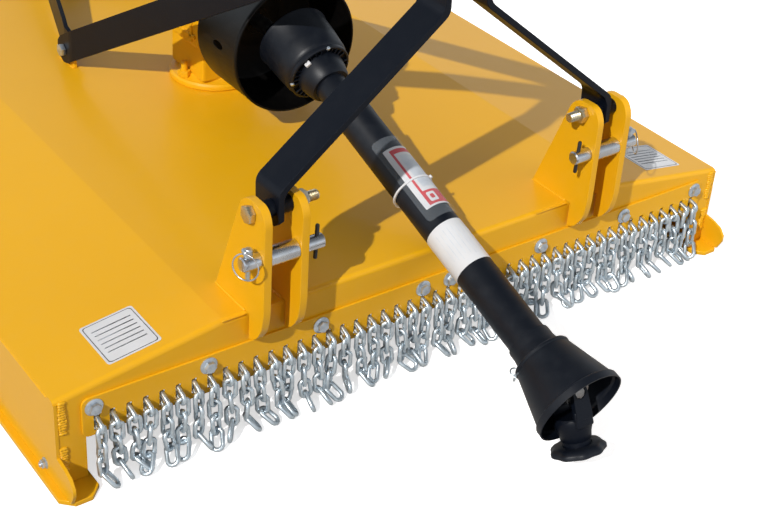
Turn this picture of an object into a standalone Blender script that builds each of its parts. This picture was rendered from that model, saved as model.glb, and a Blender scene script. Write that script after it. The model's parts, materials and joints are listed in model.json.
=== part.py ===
# Single-spindle rotary cutter for a tractor's three-point hitch, 60 inches wide.
# +X is the machine's left-to-right line, -Y points to the tractor, +Z is up and Z = 0 is the ground.
# Sizes below are laid out with Y = 0 on the face of the chain guard; the whole machine is then
# moved so that the origin lies under the middle of its box.

import math

import bmesh
import bpy
from mathutils import Matrix, Vector

mm = 0.001
gap = 0.3 * mm                      # running and seating clearance
deg = math.pi / 180

# deck
deckHalf = 803 * mm                 # outer face of a side band
flatHalf = 480 * mm                 # half width of the flat middle
deckTop = 244 * mm
edgeTop = 194 * mm                  # top of the sheet at the side bands
deckSheet = 5 * mm
deckRear = 1690 * mm
cornerStart = 1290 * mm             # where the side bands turn in
foldRadius = 8 * mm
skirtBottom = 148 * mm
legWidth = 50 * mm                  # front corner panel
bandSheet = 6 * mm
bandNose = 61 * mm                  # reach of the band in front of the guard
bandRearBottom = 90 * mm
rearBandEnd = 160 * mm              # half width of the open rear
shoeThick = 10 * mm
shoeWidth = 76 * mm
shoeOverhang = 13 * mm
shoeFront = -45 * mm

# chain guard
guardSheet = 5 * mm
guardHalf = deckHalf - 48 * mm
guardTop = 182 * mm
guardBottom = 100 * mm
guardCorner = 14 * mm
chainPitch = 31.75 * mm
endRow = 29.5 * mm                  # from the last full pitch to the end chain
endMargin = 27 * mm                 # from the end chain to the plate's end
chainRows = 2 * int((guardHalf - endMargin - endRow) / chainPitch + 0.01) + 1
wire = 8 * mm
linkInside = 31.75 * mm
linkWidth = 29 * mm
slotWidth = 11.5 * mm
slotBottom = 108.5 * mm
slotTop = 143 * mm
rodRadius = 4 * mm
linkDroop = 18 * deg                # slope of the link that sits in the slot
guardBoltZ = 161 * mm
guardBoltX = (34 * mm, 273 * mm, 512 * mm, guardHalf - 22 * mm)
guardBoltHead = 17 * mm

# hitch
lugCentre = 385 * mm
lugGap = 60 * mm
lugSheet = 16 * mm
lugRear = 117 * mm                  # where a lug meets the deck
lugFront = -55 * mm
lugFoot = 190 * mm
lugToe = 40 * mm
lugHead = 45 * mm                   # reach of a lug above its mast bolt
pinY = -28 * mm
pinZ = 375 * mm
pinRadius = 14 * mm
sleeveRadius = 18 * mm
pinOut = 81 * mm                    # pin end outside the lug pair, from the pair's middle
pinIn = 85 * mm
rollPinRadius = 4 * mm
rollPinLength = 70 * mm
linchRadius = 4.75 * mm
ringRadius = 31 * mm
ringWire = 2.5 * mm
mastBoltY = -2 * mm
mastBoltZ = 455 * mm
mastBoltRadius = 10 * mm

# mast
legBar = 12 * mm
legFront = -23 * mm
legDepth = 76 * mm
legBendZ = 488 * mm
legFoot = 421 * mm
mastTabX = 46 * mm
mastBendZ = 752 * mm
mastTop = 945 * mm
mastLean = 18 * mm
topPinZ = 850 * mm
topPinRadius = 12.5 * mm
braceBoltZ = 905 * mm
braceWidth = 66 * mm
braceSheet = 10 * mm
braceFootY = 1066 * mm
braceFootZ = 282 * mm
braceFootX = 281 * mm
braceBoltRadius = 10 * mm
footPlate = 8 * mm

# gearbox and rotor
spindleY = 872 * mm
inputZ = 448 * mm
flangeRadius = 105 * mm
flangeThick = 14 * mm
barrelRadius = 82 * mm
boxHalf = 92 * mm
boxFront = 790 * mm
boxRear = 955 * mm
boxBottom = 350 * mm
boxTop = 535 * mm
noseFront = 693 * mm
noseRadius = 55 * mm
hubRadius = 50 * mm
hubBottom = 215 * mm
studCircle = 93.5 * mm
studHeight = 42 * mm
studRadius = 10.5 * mm
inputRadius = 17.5 * mm
outputRadius = 22.5 * mm
pinionTeeth = 15
crownTeeth = 22
coneLength = 67.8 * mm              # outer cone distance of the bevel gears
gearFace = 22 * mm
gearBack = 8 * mm
shieldRadius = 148 * mm
shieldFront = 532 * mm
shieldWall = 3 * mm
carrierRadius = 250 * mm
carrierSheet = 8 * mm
carrierTop = 158 * mm
carrierDrop = 40 * mm               # from the middle of the pan to its rim
bladePivot = 205 * mm
bladeReach = 755 * mm
bladeWidth = 90 * mm
bladeThick = 12.7 * mm
bladeTop = 110 * mm
bladeBoltRadius = 14 * mm

# driveline, lying just over the front edge of the deck
driveSlope = 18.4 * deg
restGap = 4 * mm                    # lets the driveline turn a little to each side
outerTube = 40 * mm
innerTube = 34 * mm
tubeWall = 3 * mm
earRadius = 17 * mm
earInner = 26 * mm
earOuter = 37 * mm
trunnion = 11 * mm
yokeBase = 46 * mm                  # joint centre to the root of a yoke
bellRear = -62 * mm
bellRearRadius = 80 * mm
collarAt = 58 * mm
collarRadius = 61 * mm
collarLength = 13 * mm
outerTubeStart = 183 * mm
outerTubeEnd = 848 * mm
innerTubeEnd = 600 * mm
coneAt = 838 * mm
coneEnd = 963 * mm
coneSmall = 55 * mm
coneBig = 88 * mm
tractorJoint = 920 * mm             # from the gearbox joint, along the driveline
tractorSlope = 63.4 * deg
tractorYokeEnd = 125 * mm
lockAt = 102 * mm
lockLength = tractorYokeEnd - 6.5 * mm - lockAt
lockRadius = 52 * mm

# tail wheel
armSheet = 10 * mm
armHeight = 76 * mm
casterY = deckRear + 240 * mm
casterZ = 401 * mm
casterTube = 34 * mm
casterHeight = 98 * mm
spindleRadius = 19 * mm
tyreRadius = 165 * mm
tyreWidth = 84 * mm
trail = 60 * mm

finishes = {
    "yellow": ((0.80, 0.42, 0.02), 0.38, 0.0),
    "black": ((0.012, 0.013, 0.018), 0.45, 0.0),
    "plastic": ((0.015, 0.016, 0.022), 0.55, 0.0),
    "galvanised": ((0.62, 0.66, 0.68), 0.35, 0.9),
    "plated": ((0.72, 0.73, 0.74), 0.25, 1.0),
    "steel": ((0.35, 0.34, 0.33), 0.4, 1.0),
    "rubber": ((0.02, 0.02, 0.02), 0.85, 0.0),
}


def clearScene():
    for thing in list(bpy.data.objects):
        bpy.data.objects.remove(thing, do_unlink=True)


def makeObject(name, bm, finish=None):
    bmesh.ops.recalc_face_normals(bm, faces=bm.faces)
    mesh = bpy.data.meshes.new(name)
    bm.to_mesh(mesh)
    bm.free()
    thing = bpy.data.objects.new(name, mesh)
    bpy.context.scene.collection.objects.link(thing)
    if finish:
        thing.data.materials.append(makeMaterial(name, finish))
    return thing


def makeMaterial(name, finish):
    colour, roughness, metallic = finishes[finish]
    material = bpy.data.materials.new(name)
    material.use_nodes = True
    shader = material.node_tree.nodes["Principled BSDF"]
    shader.inputs["Base Color"].default_value = (*colour, 1)
    shader.inputs["Roughness"].default_value = roughness
    shader.inputs["Metallic"].default_value = metallic
    material.diffuse_color = (*colour, 1)
    return material


def arc(centre, radius, start, end, steps):
    # points of an arc in a plane, angles in degrees
    points = []
    for step in range(steps + 1):
        angle = (start + (end - start) * step / steps) * deg
        points.append((centre[0] + radius * math.cos(angle), centre[1] + radius * math.sin(angle)))
    return points


def spatial(axis, point, along):
    # a point of a plane square to an axis, at a place along that axis
    if axis == "X":
        return Vector((along, point[0], point[1]))
    if axis == "Y":
        return Vector((point[0], along, point[1]))
    return Vector((point[0], point[1], along))


def prismMesh(bm, outline, axis, low, high):
    face = bm.faces.new([bm.verts.new(spatial(axis, point, low)) for point in outline])
    raised = bmesh.ops.extrude_face_region(bm, geom=[face])
    moved = [part for part in raised["geom"] if isinstance(part, bmesh.types.BMVert)]
    bmesh.ops.translate(bm, verts=moved, vec=spatial(axis, (0, 0), high - low))
    bmesh.ops.recalc_face_normals(bm, faces=bm.faces)


def prism(name, outline, axis, low, high, finish=None):
    bm = bmesh.new()
    prismMesh(bm, outline, axis, low, high)
    return makeObject(name, bm, finish)


def box(name, low, high, finish=None):
    outline = [(low[0], low[1]), (high[0], low[1]), (high[0], high[1]), (low[0], high[1])]
    return prism(name, outline, "Z", low[2], high[2], finish)


def turned(name, profile, axis, centre, steps, finish=None, phase=0):
    # a closed outline of (radius, height) points, turned about an axis through the centre
    bm = bmesh.new()
    side = {"X": (0, 1, 0), "Y": (0, 0, 1), "Z": (1, 0, 0)}[axis]
    spine = Vector({"X": (1, 0, 0), "Y": (0, 1, 0), "Z": (0, 0, 1)}[axis])
    turn = Matrix.Rotation(phase * deg, 3, spine)
    ring = [bm.verts.new(turn @ (Vector(side) * radius) + spine * height) for radius, height in profile]
    edges = [bm.edges.new((ring[i], ring[(i + 1) % len(ring)])) for i in range(len(ring))]
    edges = [e for e in edges if e.calc_length() > 0 and not onAxis(e, profile, ring)]
    bmesh.ops.spin(bm, geom=edges, cent=(0, 0, 0), axis=spine, angle=2 * math.pi, steps=steps,
                   use_merge=True, use_duplicate=False)
    bmesh.ops.remove_doubles(bm, verts=bm.verts, dist=1e-6)
    loose = [e for e in bm.edges if not e.link_faces]
    bmesh.ops.delete(bm, geom=loose, context="EDGES")
    middles = [v for v in bm.verts if v.co.cross(spine).length < 1e-6]
    bmesh.ops.dissolve_verts(bm, verts=middles)
    bmesh.ops.translate(bm, verts=bm.verts, vec=centre)
    return makeObject(name, bm, finish)


def onAxis(edge, profile, ring):
    spots = [ring.index(v) for v in edge.verts]
    return all(profile[i][0] == 0 for i in spots)


def rod(name, radius, axis, centre, low, high, steps=12, finish=None, phase=0):
    profile = [(0, low), (radius, low), (radius, high), (0, high)]
    return turned(name, profile, axis, centre, steps, finish, phase)


def boolean(thing, tool, operation, selfToo=False):
    modifier = thing.modifiers.new(operation.lower(), "BOOLEAN")
    modifier.operation = operation
    modifier.object = tool
    modifier.solver = "EXACT"
    modifier.use_self = selfToo
    bpy.context.view_layer.update()
    graph = bpy.context.evaluated_depsgraph_get()
    mesh = bpy.data.meshes.new_from_object(thing.evaluated_get(graph), depsgraph=graph)
    thing.modifiers.clear()
    old = thing.data
    thing.data = mesh
    mesh.name = thing.name
    bpy.data.meshes.remove(old)
    bpy.data.objects.remove(tool, do_unlink=True)
    return thing


def cut(thing, *tools):
    for tool in tools:
        boolean(thing, tool, "DIFFERENCE")
    return thing


def fuse(thing, *tools):
    for tool in tools:
        boolean(thing, tool, "UNION")
    return thing


def clear(radius, steps):
    # corner radius of a many-sided bore that lets a round piece turn in it
    return (radius + gap) / math.cos(math.pi / steps)


def smooth(thing, angle=35):
    thing.data.shade_smooth()
    thing.data.set_sharp_from_angle(angle=angle * deg)
    return thing


def joint(name, parent, place, tilt=0):
    # an empty on a joint's axis, given in machine coordinates
    empty = bpy.data.objects.new(name, None)
    bpy.context.scene.collection.objects.link(empty)
    world = Matrix.Translation(place) @ Matrix.Rotation(tilt, 4, "X")
    empty.parent = parent
    empty.matrix_local = parent.matrix_world.inverted() @ world if parent else world
    bpy.context.view_layer.update()
    return empty


def attach(thing, parent, local=False):
    # a piece modelled in machine coordinates, or in its joint's own frame, is hung on that joint
    if not local:
        thing.data.transform(parent.matrix_world.inverted())
    thing.parent = parent
    return thing


def deckHeight(x):
    # top of the deck sheet over a place across the machine
    outside = max(0, abs(x) - flatHalf)
    return deckTop - outside * (deckTop - edgeTop) / (deckHalf - flatHalf)


skirtFront = guardSheet + gap
skirtRear = skirtFront + deckSheet
bandInner = deckHalf - bandSheet
bandBottom = shoeThick + gap
bandTop = edgeTop - deckSheet - gap


def makeDeck(machine):
    low = bandBottom + gap
    outer = [(-deckHalf, low), (deckHalf, low), (deckHalf, edgeTop), (flatHalf, deckTop),
             (-flatHalf, deckTop), (-deckHalf, edgeTop)]
    bm = bmesh.new()
    prismMesh(bm, outer, "Y", skirtFront, deckRear)
    folds = [e for e in bm.edges if all(abs(v.co.y - skirtFront) < 1e-6 and v.co.z > edgeTop - 1e-6
                                        for v in e.verts)]
    bmesh.ops.bevel(bm, geom=folds, offset=foldRadius, segments=2, profile=0.5, affect="EDGES")
    deck = makeObject("deck_pan", bm, "yellow")
    far = deckHalf + 10 * mm
    under = [(-far, 0), (far, 0), (far, deckHeight(far) - deckSheet), (flatHalf, deckTop - deckSheet),
             (-flatHalf, deckTop - deckSheet), (-far, deckHeight(far) - deckSheet)]
    cut(deck, prism("hollow", under, "Y", skirtRear, deckRear + 0.1))
    legInner = bandInner - legWidth
    cut(deck, box("opening", (-legInner, -0.02, 0), (legInner, 0.05, skirtBottom)))
    run = Vector((flatHalf - deckHalf, deckRear - cornerStart)) * 0.1
    for side in (-1, 1):
        edges = sorted((side * (bandInner - gap), side * (deckHalf + 0.02)))
        cut(deck, box("band room", (edges[0], -0.02, 0), (edges[1], 0.05, bandTop + gap)))
        corner = [(side * (deckHalf - run.x), cornerStart - run.y), (side * (deckHalf - run.x), deckRear + run.y),
                  (side * (flatHalf + run.x), deckRear + run.y)]
        cut(deck, prism("corner", corner, "Z", 0, 0.4))
    cut(deck, rod("spindle hole", hubRadius + 2 * mm, "Z", (0, spindleY, 0), 0.1, 0.4, 24))
    return attach(deck, machine)


def makeBand(machine, side, name):
    nose = [(4 * mm, bandTop), (4 * mm, 96 * mm), (-26 * mm, 90 * mm), (-48 * mm, 80 * mm),
            (-bandNose, 60 * mm), (-bandNose, 40 * mm), (shoeFront, bandBottom)]
    outline = nose + [(cornerStart, bandBottom), (cornerStart, bandTop)]
    inner, outer = sorted((side * bandInner, side * deckHalf))
    band = prism(name, outline, "X", inner, outer, "yellow")
    under = deckSheet + 3 * gap
    line = Vector((flatHalf - deckHalf, deckRear - cornerStart)).normalized()
    inset = Vector((-line.y, line.x)) * bandSheet
    first = Vector((deckHalf, cornerStart))
    second = Vector((flatHalf, deckRear))
    corners = [first, second, second + inset, first + inset - line * bandSheet * 0.5]
    rise = [bandBottom, bandRearBottom, bandRearBottom, bandBottom]
    bm = bmesh.new()
    lower = [bm.verts.new((side * p.x, p.y, z)) for p, z in zip(corners, rise)]
    tops = [deckHeight(deckHalf) - under, deckTop - under, deckTop - under, deckHeight(deckHalf) - under]
    upper = [bm.verts.new((side * p.x, p.y, z)) for p, z in zip(corners, tops)]
    bmesh.ops.contextual_create(bm, geom=lower)
    bmesh.ops.contextual_create(bm, geom=upper)
    for i in range(4):
        after = (i + 1) % 4
        bm.faces.new((lower[i], lower[after], upper[after], upper[i]))
    fuse(band, makeObject("turn", bm))
    rear = sorted((side * rearBandEnd, side * flatHalf))
    fuse(band, box("rear", (rear[0], deckRear - bandSheet, bandRearBottom),
                   (rear[1], deckRear, deckTop - under)))
    return attach(band, machine)


def makeShoe(machine, side, name):
    outer = deckHalf + shoeOverhang
    inner = outer - shoeWidth
    nick = 22 * mm
    outline = [(side * x, y) for x, y in ((inner, shoeFront + nick), (inner + nick, shoeFront),
                                          (outer - nick, shoeFront), (outer, shoeFront + nick),
                                          (outer, cornerStart - nick), (outer - nick, cornerStart),
                                          (inner, cornerStart))]
    return attach(prism(name, outline, "Z", 0, shoeThick, "yellow"), machine)


def makeGuard(machine):
    r = guardCorner
    half = guardHalf
    outline = (arc((half - r, guardTop - r), r, 0, 90, 3) + arc((-half + r, guardTop - r), r, 90, 180, 3)
               + arc((-half + r, guardBottom + r), r, 180, 270, 3)
               + arc((half - r, guardBottom + r), r, 270, 360, 3))
    guard = prism("chain_guard_plate", outline, "Y", 0, guardSheet, "yellow")
    bm = bmesh.new()
    for x in chainPlaces():
        slot = [(x - slotWidth / 2, slotBottom), (x + slotWidth / 2, slotBottom),
                (x + slotWidth / 2, slotTop), (x - slotWidth / 2, slotTop)]
        prismMesh(bm, slot, "Y", -0.02, 0.02)
    cut(guard, makeObject("slots", bm))
    for x in guardBoltX:
        for side in (-1, 1):
            place = (side * x, 0, guardBoltZ)
            fuse(guard, rod("head", guardBoltHead, "Y", place, -9 * mm, 1 * mm, 6))
    return attach(guard, machine)


def chainPlaces():
    middle = (chainRows - 1) / 2
    rows = [(row - middle) * chainPitch for row in range(chainRows)]
    return [rows[0] - endRow] + rows + [rows[-1] + endRow]


def addLink(bm, centre, lengthwise, across, corners):
    # one link: a three-sided wire with its ridge inside, mitred round a closed path
    normal = lengthwise.cross(across)
    count = len(corners)
    rings = []
    for i, (u, v) in enumerate(corners):
        spot = lengthwise * u + across * v
        before = lengthwise * corners[i - 1][0] + across * corners[i - 1][1]
        after = lengthwise * corners[(i + 1) % count][0] + across * corners[(i + 1) % count][1]
        inward = ((before - spot).normalized() + (after - spot).normalized()).normalized()
        mitre = ridge / (after - spot).normalized().cross(inward).length
        rings.append([bm.verts.new(centre + spot + inward * mitre),
                      bm.verts.new(centre + spot - inward * mitre * 0.5 + normal * ridge * 0.87),
                      bm.verts.new(centre + spot - inward * mitre * 0.5 - normal * ridge * 0.87)])
    for i in range(count):
        a, b = rings[i], rings[(i + 1) % count]
        for j in range(3):
            k = (j + 1) % 3
            bm.faces.new((a[j], b[j], b[k], a[k]))


ridge = wire * 0.66                 # from the wire's middle to its inner ridge
groundGap = 1 * mm
bite = 0.25 * mm                    # each link's ridge sinks this far into its neighbour
insideHalf = linkInside / 2 - bite
sideHalf = linkWidth / 2 - ridge * 1.5


def linkCorners(rounded):
    bow = insideHalf + ridge
    half = sideHalf + ridge
    if rounded:
        short = half * 0.62
        return [(bow, short), (0, half), (-bow, short), (-bow, -short), (0, -half), (bow, -short)]
    return [(bow, half), (-bow, half), (-bow, -half), (bow, -half)]


rodY = guardSheet + gap + rodRadius
rodZ = slotBottom + gap + linkWidth / 2 / math.cos(linkDroop) + rodY * math.tan(linkDroop)


def makeChains(chains):
    outward = Vector((0, -math.cos(linkDroop), -math.sin(linkDroop)))
    under = Vector((0, math.sin(linkDroop), -math.cos(linkDroop)))
    sideways = Vector((1, 0, 0))
    down = Vector((0, 0, -1))
    rodSeat = rodRadius - bite
    slotCentre = Vector((0, rodY, rodZ)) + outward * (insideHalf - rodSeat)
    hook = slotCentre + outward * (insideHalf - wire * 0.65) + under * sideHalf
    bm = bmesh.new()
    for x in chainPlaces():
        shift = Vector((x, 0, 0))
        addLink(bm, slotCentre + shift, outward, under, linkCorners(False))
        hang = hook + shift + down * (insideHalf + 1.5 * bite)
        for number in range(3):
            across = (sideways, Vector((0, 1, 0)))[number % 2]
            addLink(bm, hang, down, across, linkCorners(number != 1))
            hang = hang + down * linkInside
        # the last link lies forward on the ground, on its edge
        last = Vector((x, hang.y + ridge * 0.87 - bite - insideHalf, linkWidth / 2 + groundGap))
        addLink(bm, last, Vector((0, -1, 0)), down, linkCorners(False))
    strands = makeObject("front_chains", bm, "galvanised")
    end = chainPlaces()[-1] + 15 * mm
    boolean(strands, rod("rod", rodRadius, "X", (0, rodY, rodZ), -end, end, 6, None, linkDroop / deg),
            "UNION", True)
    return attach(strands, chains)


def makeLug(machine, x, name):
    outline = [(lugRear, deckTop + gap)]
    outline += [(mastBoltY + lugHead * u, mastBoltZ + lugHead * v)
                for u, v in ((0.778, 0.022), (0.333, 0.756), (-0.133, 1), (-0.667, 0.956), (-1.022, 0.556), (-1.133, 0))]
    outline += [(lugFront, lugFoot + lugToe)] + arc((lugFront + lugToe, lugFoot + lugToe), lugToe, 195, 270, 4)
    outline += [(skirtFront - gap, lugFoot), (skirtFront - gap, deckTop + gap)]
    low, high = x - lugSheet / 2, x + lugSheet / 2
    lug = prism(name, outline, "X", low, high, "yellow")
    cut(lug, rod("bolt hole", mastBoltRadius + gap, "X", (x, mastBoltY, mastBoltZ), -0.02, 0.02, 12))
    cut(lug, rod("pin hole", pinRadius + gap, "X", (x, pinY, pinZ), -0.02, 0.02, 12))
    return attach(lug, machine)


def makeHitchPin(place, side, name):
    # the pin lies across a lug pair, with a roll pin inboard and a cross hole outboard
    middle = side * lugCentre
    ends = sorted((middle + side * pinOut, middle - side * pinIn))
    chamfer = 2 * mm
    profile = [(0, ends[0]), (pinRadius - chamfer, ends[0]), (pinRadius, ends[0] + chamfer),
               (pinRadius, ends[1] - chamfer), (pinRadius - chamfer, ends[1]), (0, ends[1])]
    pin = turned(name, profile, "X", (0, pinY, pinZ), 12, "plated")
    rollX = middle - side * (pinIn - 14 * mm)
    fuse(pin, rod("roll", rollPinRadius, "Z", (rollX, pinY, pinZ), -rollPinLength / 2, rollPinLength / 2, 8))
    cut(pin, rod("hole", linchRadius + gap, "Z", (linchX(side), pinY, pinZ), -0.05, 0.05, 8))
    return attach(pin, place)


def linchX(side):
    return side * (lugCentre + pinOut - 14 * mm)


def makeSleeve(place, side, name):
    half = lugGap / 2 - gap
    inner = clear(pinRadius, 12)
    profile = [(inner, -half), (sleeveRadius, -half), (sleeveRadius, half), (inner, half)]
    return attach(turned(name, profile, "X", (side * lugCentre, pinY, pinZ), 12, "plated"), place)


linchTop = pinZ + ringRadius


def makeLinchPin(place, x, y, z, side, name, hole=True):
    stem = rod(name, linchRadius, "Z", (x, y, z), -34 * mm, 28 * mm, 8, "plated")
    reach = side * 20 * mm
    low, high = sorted((x - side * 8 * mm, x + reach + side * 7 * mm))
    head = box("head", (low, y - 6 * mm, z + 22 * mm), (high, y + 6 * mm, z + 41 * mm))
    fuse(stem, head)
    if hole:
        cut(stem, rod("eye", ringWire + 2 * mm, "Y", (x + reach, y, linchTop), -0.02, 0.02, 8))
    return attach(stem, place)


def makeRing(place, x, name):
    profile = arc((ringRadius, 0), ringWire, 0, 300, 5)
    ring = turned(name, profile, "X", (x, pinY, pinZ), 16, "plated")
    return attach(ring, place)


def legPath(side):
    # front view of one mast leg, as a band of one thickness
    foot = Vector((lugCentre, legFoot))
    bend = Vector((lugCentre, legBendZ))
    turn = Vector((mastTabX, mastBendZ))
    top = Vector((mastTabX, mastTop))
    half = legBar / 2
    slope = (turn - bend).normalized()
    lean = math.tan((math.pi / 2 - math.atan2(slope.y, -slope.x)) / 2) * half
    outer = [foot + Vector((half, 0)), bend + Vector((half, lean)), turn + Vector((half, lean)),
             top + Vector((half, 0))]
    inner = [top - Vector((half, 0)), turn - Vector((half, lean)), bend - Vector((half, lean)),
             foot - Vector((half, 0))]
    return [(side * p.x, p.y) for p in outer + inner]


def makeLeg(machine, side, name):
    bm = bmesh.new()
    prismMesh(bm, legPath(side), "Y", legFront, legFront + legDepth)
    for v in bm.verts:
        v.co.y += mastLean * (v.co.z - legBendZ) / (mastTop - legBendZ)
    leg = makeObject(name, bm, "black")
    back = legFront + legDepth
    low = legFoot - 20 * mm
    far = 20 * mm
    x = side * lugCentre
    rise = 31 * mm
    run = back - 18 * mm
    rear = [(back + far, legFoot + rise * (1 + far / run)), (18 * mm - far, legFoot - rise * far / run),
            (18 * mm - far, low), (back + far, low)]
    front = [(legFront - far, legFoot + 12 * mm + far), (legFront - far, low), (legFront + 12 * mm + far, low),
             (legFront + 12 * mm + far, legFoot - far)]
    for trim in (rear, front):
        cut(leg, prism("trim", trim, "X", x - 0.03, x + 0.03))
    tab = side * mastTabX
    cut(leg, rod("hole", mastBoltRadius + gap, "X", (x, mastBoltY, mastBoltZ), -0.03, 0.03, 12))
    cut(leg, rod("hole", topPinRadius + gap, "X", (tab, mastY, topPinZ), -0.02, 0.02, 12))
    cut(leg, rod("hole", braceBoltRadius + gap, "X", (tab, mastY, braceBoltZ), -0.02, 0.02, 12))
    crown = 26 * mm
    middle = legFront + legDepth / 2 + mastLean
    for turn in (-1, 1):
        edge = middle + turn * legDepth / 2
        corner = [(edge + turn * far, mastTop - crown - far), (edge + turn * far, mastTop + far),
                  (edge - turn * (crown + far), mastTop + far)]
        cut(leg, prism("crown", corner, "X", tab - 0.02, tab + 0.02))
    return attach(leg, machine)


mastY = legFront + legDepth / 2 + mastLean


def makeBolt(parent, name, centre, radius, low, high, headThick, nutThick, headSide, finish, across=1.65,
             tail=9 * mm):
    # a hexagon bolt along X: the grip from low to high, a head on one side, a nut and thread end on the other
    headLow, headHigh = (low - headThick, low) if headSide < 0 else (high, high + headThick)
    nutLow, nutHigh = (high, high + nutThick) if headSide < 0 else (low - nutThick, low)
    ends = (headLow, nutHigh + tail) if headSide < 0 else (nutLow - tail, headHigh)
    bolt = rod(name, radius, "X", centre, ends[0] + 0.5 * mm * (headSide < 0), ends[1] - 0.5 * mm * (headSide > 0),
               12, finish)
    fuse(bolt, rod("head", radius * across, "X", centre, headLow, headHigh, 6, phase=7),
         rod("nut", radius * across, "X", centre, nutLow, nutHigh, 6, phase=21))
    return attach(bolt, parent)


def makeMastBolts(machine):
    for side, name in ((-1, "mast_bolt_left"), (1, "mast_bolt_right")):
        half = lugGap / 2 + lugSheet + gap
        middle = (side * lugCentre, mastBoltY, mastBoltZ)
        bolt = makeBolt(machine, name, middle, mastBoltRadius, -half, half, 13 * mm, 16 * mm, side, "plated", 1.8)
        inner, outer = legBar / 2 + gap, lugGap / 2 - gap
        for low, high in ((-outer, -inner), (inner, outer)):
            fuse(bolt, rod("spacer", 15 * mm, "X", middle, low, high, 8, phase=5))
    half = mastTabX + legBar / 2 + braceSheet + 2 * gap
    bolt = makeBolt(machine, "mast_spacer_bolt", (0, mastY, braceBoltZ), braceBoltRadius, -half, half,
                    13 * mm, 16 * mm, 1, "plated")
    half = mastTabX - legBar / 2 - gap
    fuse(bolt, rod("spacer", 16 * mm, "X", (0, mastY, braceBoltZ), -half, half, 12))


def bentPlate(name, outline, breaks, placeX, thickness, finish):
    # a plate cut to a side view, set over at each break line and given its thickness
    bm = bmesh.new()
    face = bm.faces.new([bm.verts.new((0, y, z)) for y, z in outline])
    for y in breaks:
        bmesh.ops.bisect_plane(bm, geom=bm.faces[:] + bm.edges[:] + bm.verts[:], dist=1e-7,
                               plane_co=(0, y, 0), plane_no=(0, 1, 0))
    raised = bmesh.ops.extrude_face_region(bm, geom=bm.faces[:])
    moved = [part for part in raised["geom"] if isinstance(part, bmesh.types.BMVert)]
    bmesh.ops.translate(bm, verts=moved, vec=(thickness, 0, 0))
    for v in bm.verts:
        v.co.x += placeX(v.co.y) - thickness / 2
    return makeObject(name, bm, finish)


def barOutline(foot, top, width, steps=5):
    # side view of a straight bar with round ends
    line = math.atan2(top[1] - foot[1], top[0] - foot[0]) / deg
    half = width / 2
    return arc(top, half, line - 90, line + 90, steps) + arc(foot, half, line + 90, line + 270, steps)


braceBends = (legFront + 93 * mm, braceFootY - 36 * mm)


def bracePlace(side):
    upper = mastTabX + legBar / 2 + gap + braceSheet / 2

    def place(y):
        start, end = braceBends
        share = min(1, max(0, (y - start) / (end - start)))
        return side * (upper + (braceFootX - upper) * share)
    return place


def makeBrace(machine, side, name):
    outline = barOutline((braceFootY, braceFootZ), (mastY, braceBoltZ), braceWidth)
    brace = bentPlate(name, outline, braceBends, bracePlace(side), braceSheet, "black")
    for y, z in ((braceFootY, braceFootZ), (mastY, braceBoltZ)):
        x = bracePlace(side)(y)
        cut(brace, rod("hole", braceBoltRadius + gap, "X", (x, y, z), -0.02, 0.02, 12))
    return attach(brace, machine)


plateX = braceFootX - braceSheet / 2 - gap - footPlate / 2
armX = plateX - footPlate / 2 - gap - armSheet / 2


def makeFootPlate(machine, side, name):
    outline = [(braceFootY - 31 * mm, deckTop + gap), (braceFootY + 44 * mm, deckTop + gap)]
    outline += arc((braceFootY, braceFootZ), 26 * mm, 0, 180, 6)
    x = side * plateX
    plate = prism(name, outline, "X", x - footPlate / 2, x + footPlate / 2, "yellow")
    cut(plate, rod("hole", braceBoltRadius + gap, "X", (x, braceFootY, braceFootZ), -0.02, 0.02, 12))
    return attach(plate, machine)


def makeFootBolt(machine, side, name):
    outer = braceFootX + braceSheet / 2 + gap
    inner = armX - armSheet / 2 - gap
    middle = side * (outer + inner) / 2
    half = (outer - inner) / 2
    makeBolt(machine, name, (middle, braceFootY, braceFootZ), braceBoltRadius, -half, half,
             11 * mm, 14 * mm, side, "plated", 1.5, 6 * mm)


def makeGearbox(machine):
    spot = (0, spindleY, 0)
    base = deckTop + gap
    profile = [(0, hubBottom), (hubRadius, hubBottom), (hubRadius, base), (flangeRadius, base),
               (flangeRadius, base + flangeThick), (barrelRadius, base + flangeThick + 2 * mm),
               (barrelRadius, boxBottom + 10 * mm), (0, boxBottom + 10 * mm)]
    case = turned("gearbox_housing", profile, "Z", spot, 20, "yellow")
    bm = bmesh.new()
    prismMesh(bm, [(-boxHalf, boxFront), (boxHalf, boxFront), (boxHalf, boxRear), (-boxHalf, boxRear)],
              "Z", boxBottom, boxTop)
    bmesh.ops.bevel(bm, geom=bm.edges[:], offset=16 * mm, segments=1, affect="EDGES")
    fuse(case, makeObject("body", bm))
    axis = (0, 0, inputZ)
    nose = [(0, noseFront), (noseRadius, noseFront), (noseRadius, boxFront - 20 * mm),
            (noseRadius + 15 * mm, boxFront + 5 * mm), (0, boxFront + 5 * mm)]
    fuse(case, turned("nose", nose, "Y", axis, 12),
         rod("rear boss", noseRadius, "Y", axis, boxRear - 5 * mm, boxRear + 16 * mm, 12))
    for number in range(4):
        angle = (190 + 90 * number) * deg
        stud = (studCircle * math.cos(angle), spindleY + studCircle * math.sin(angle), base + flangeThick)
        fuse(case, rod("stud", studRadius, "Z", stud, -5 * mm, studHeight, 6))
    room = coneLength + gearBack
    cut(case, rod("room", room, "Z", spot, inputZ - 48 * mm, inputZ + 48 * mm, 12),
        rod("input bore", clear(inputRadius, 12), "Y", axis, noseFront - 0.02, spindleY, 12),
        rod("output bore", clear(outputRadius, 12), "Z", spot, hubBottom - 0.02, boxTop + 0.02, 12))
    return attach(case, machine)


crownAngle = math.atan2(crownTeeth, pinionTeeth)


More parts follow.
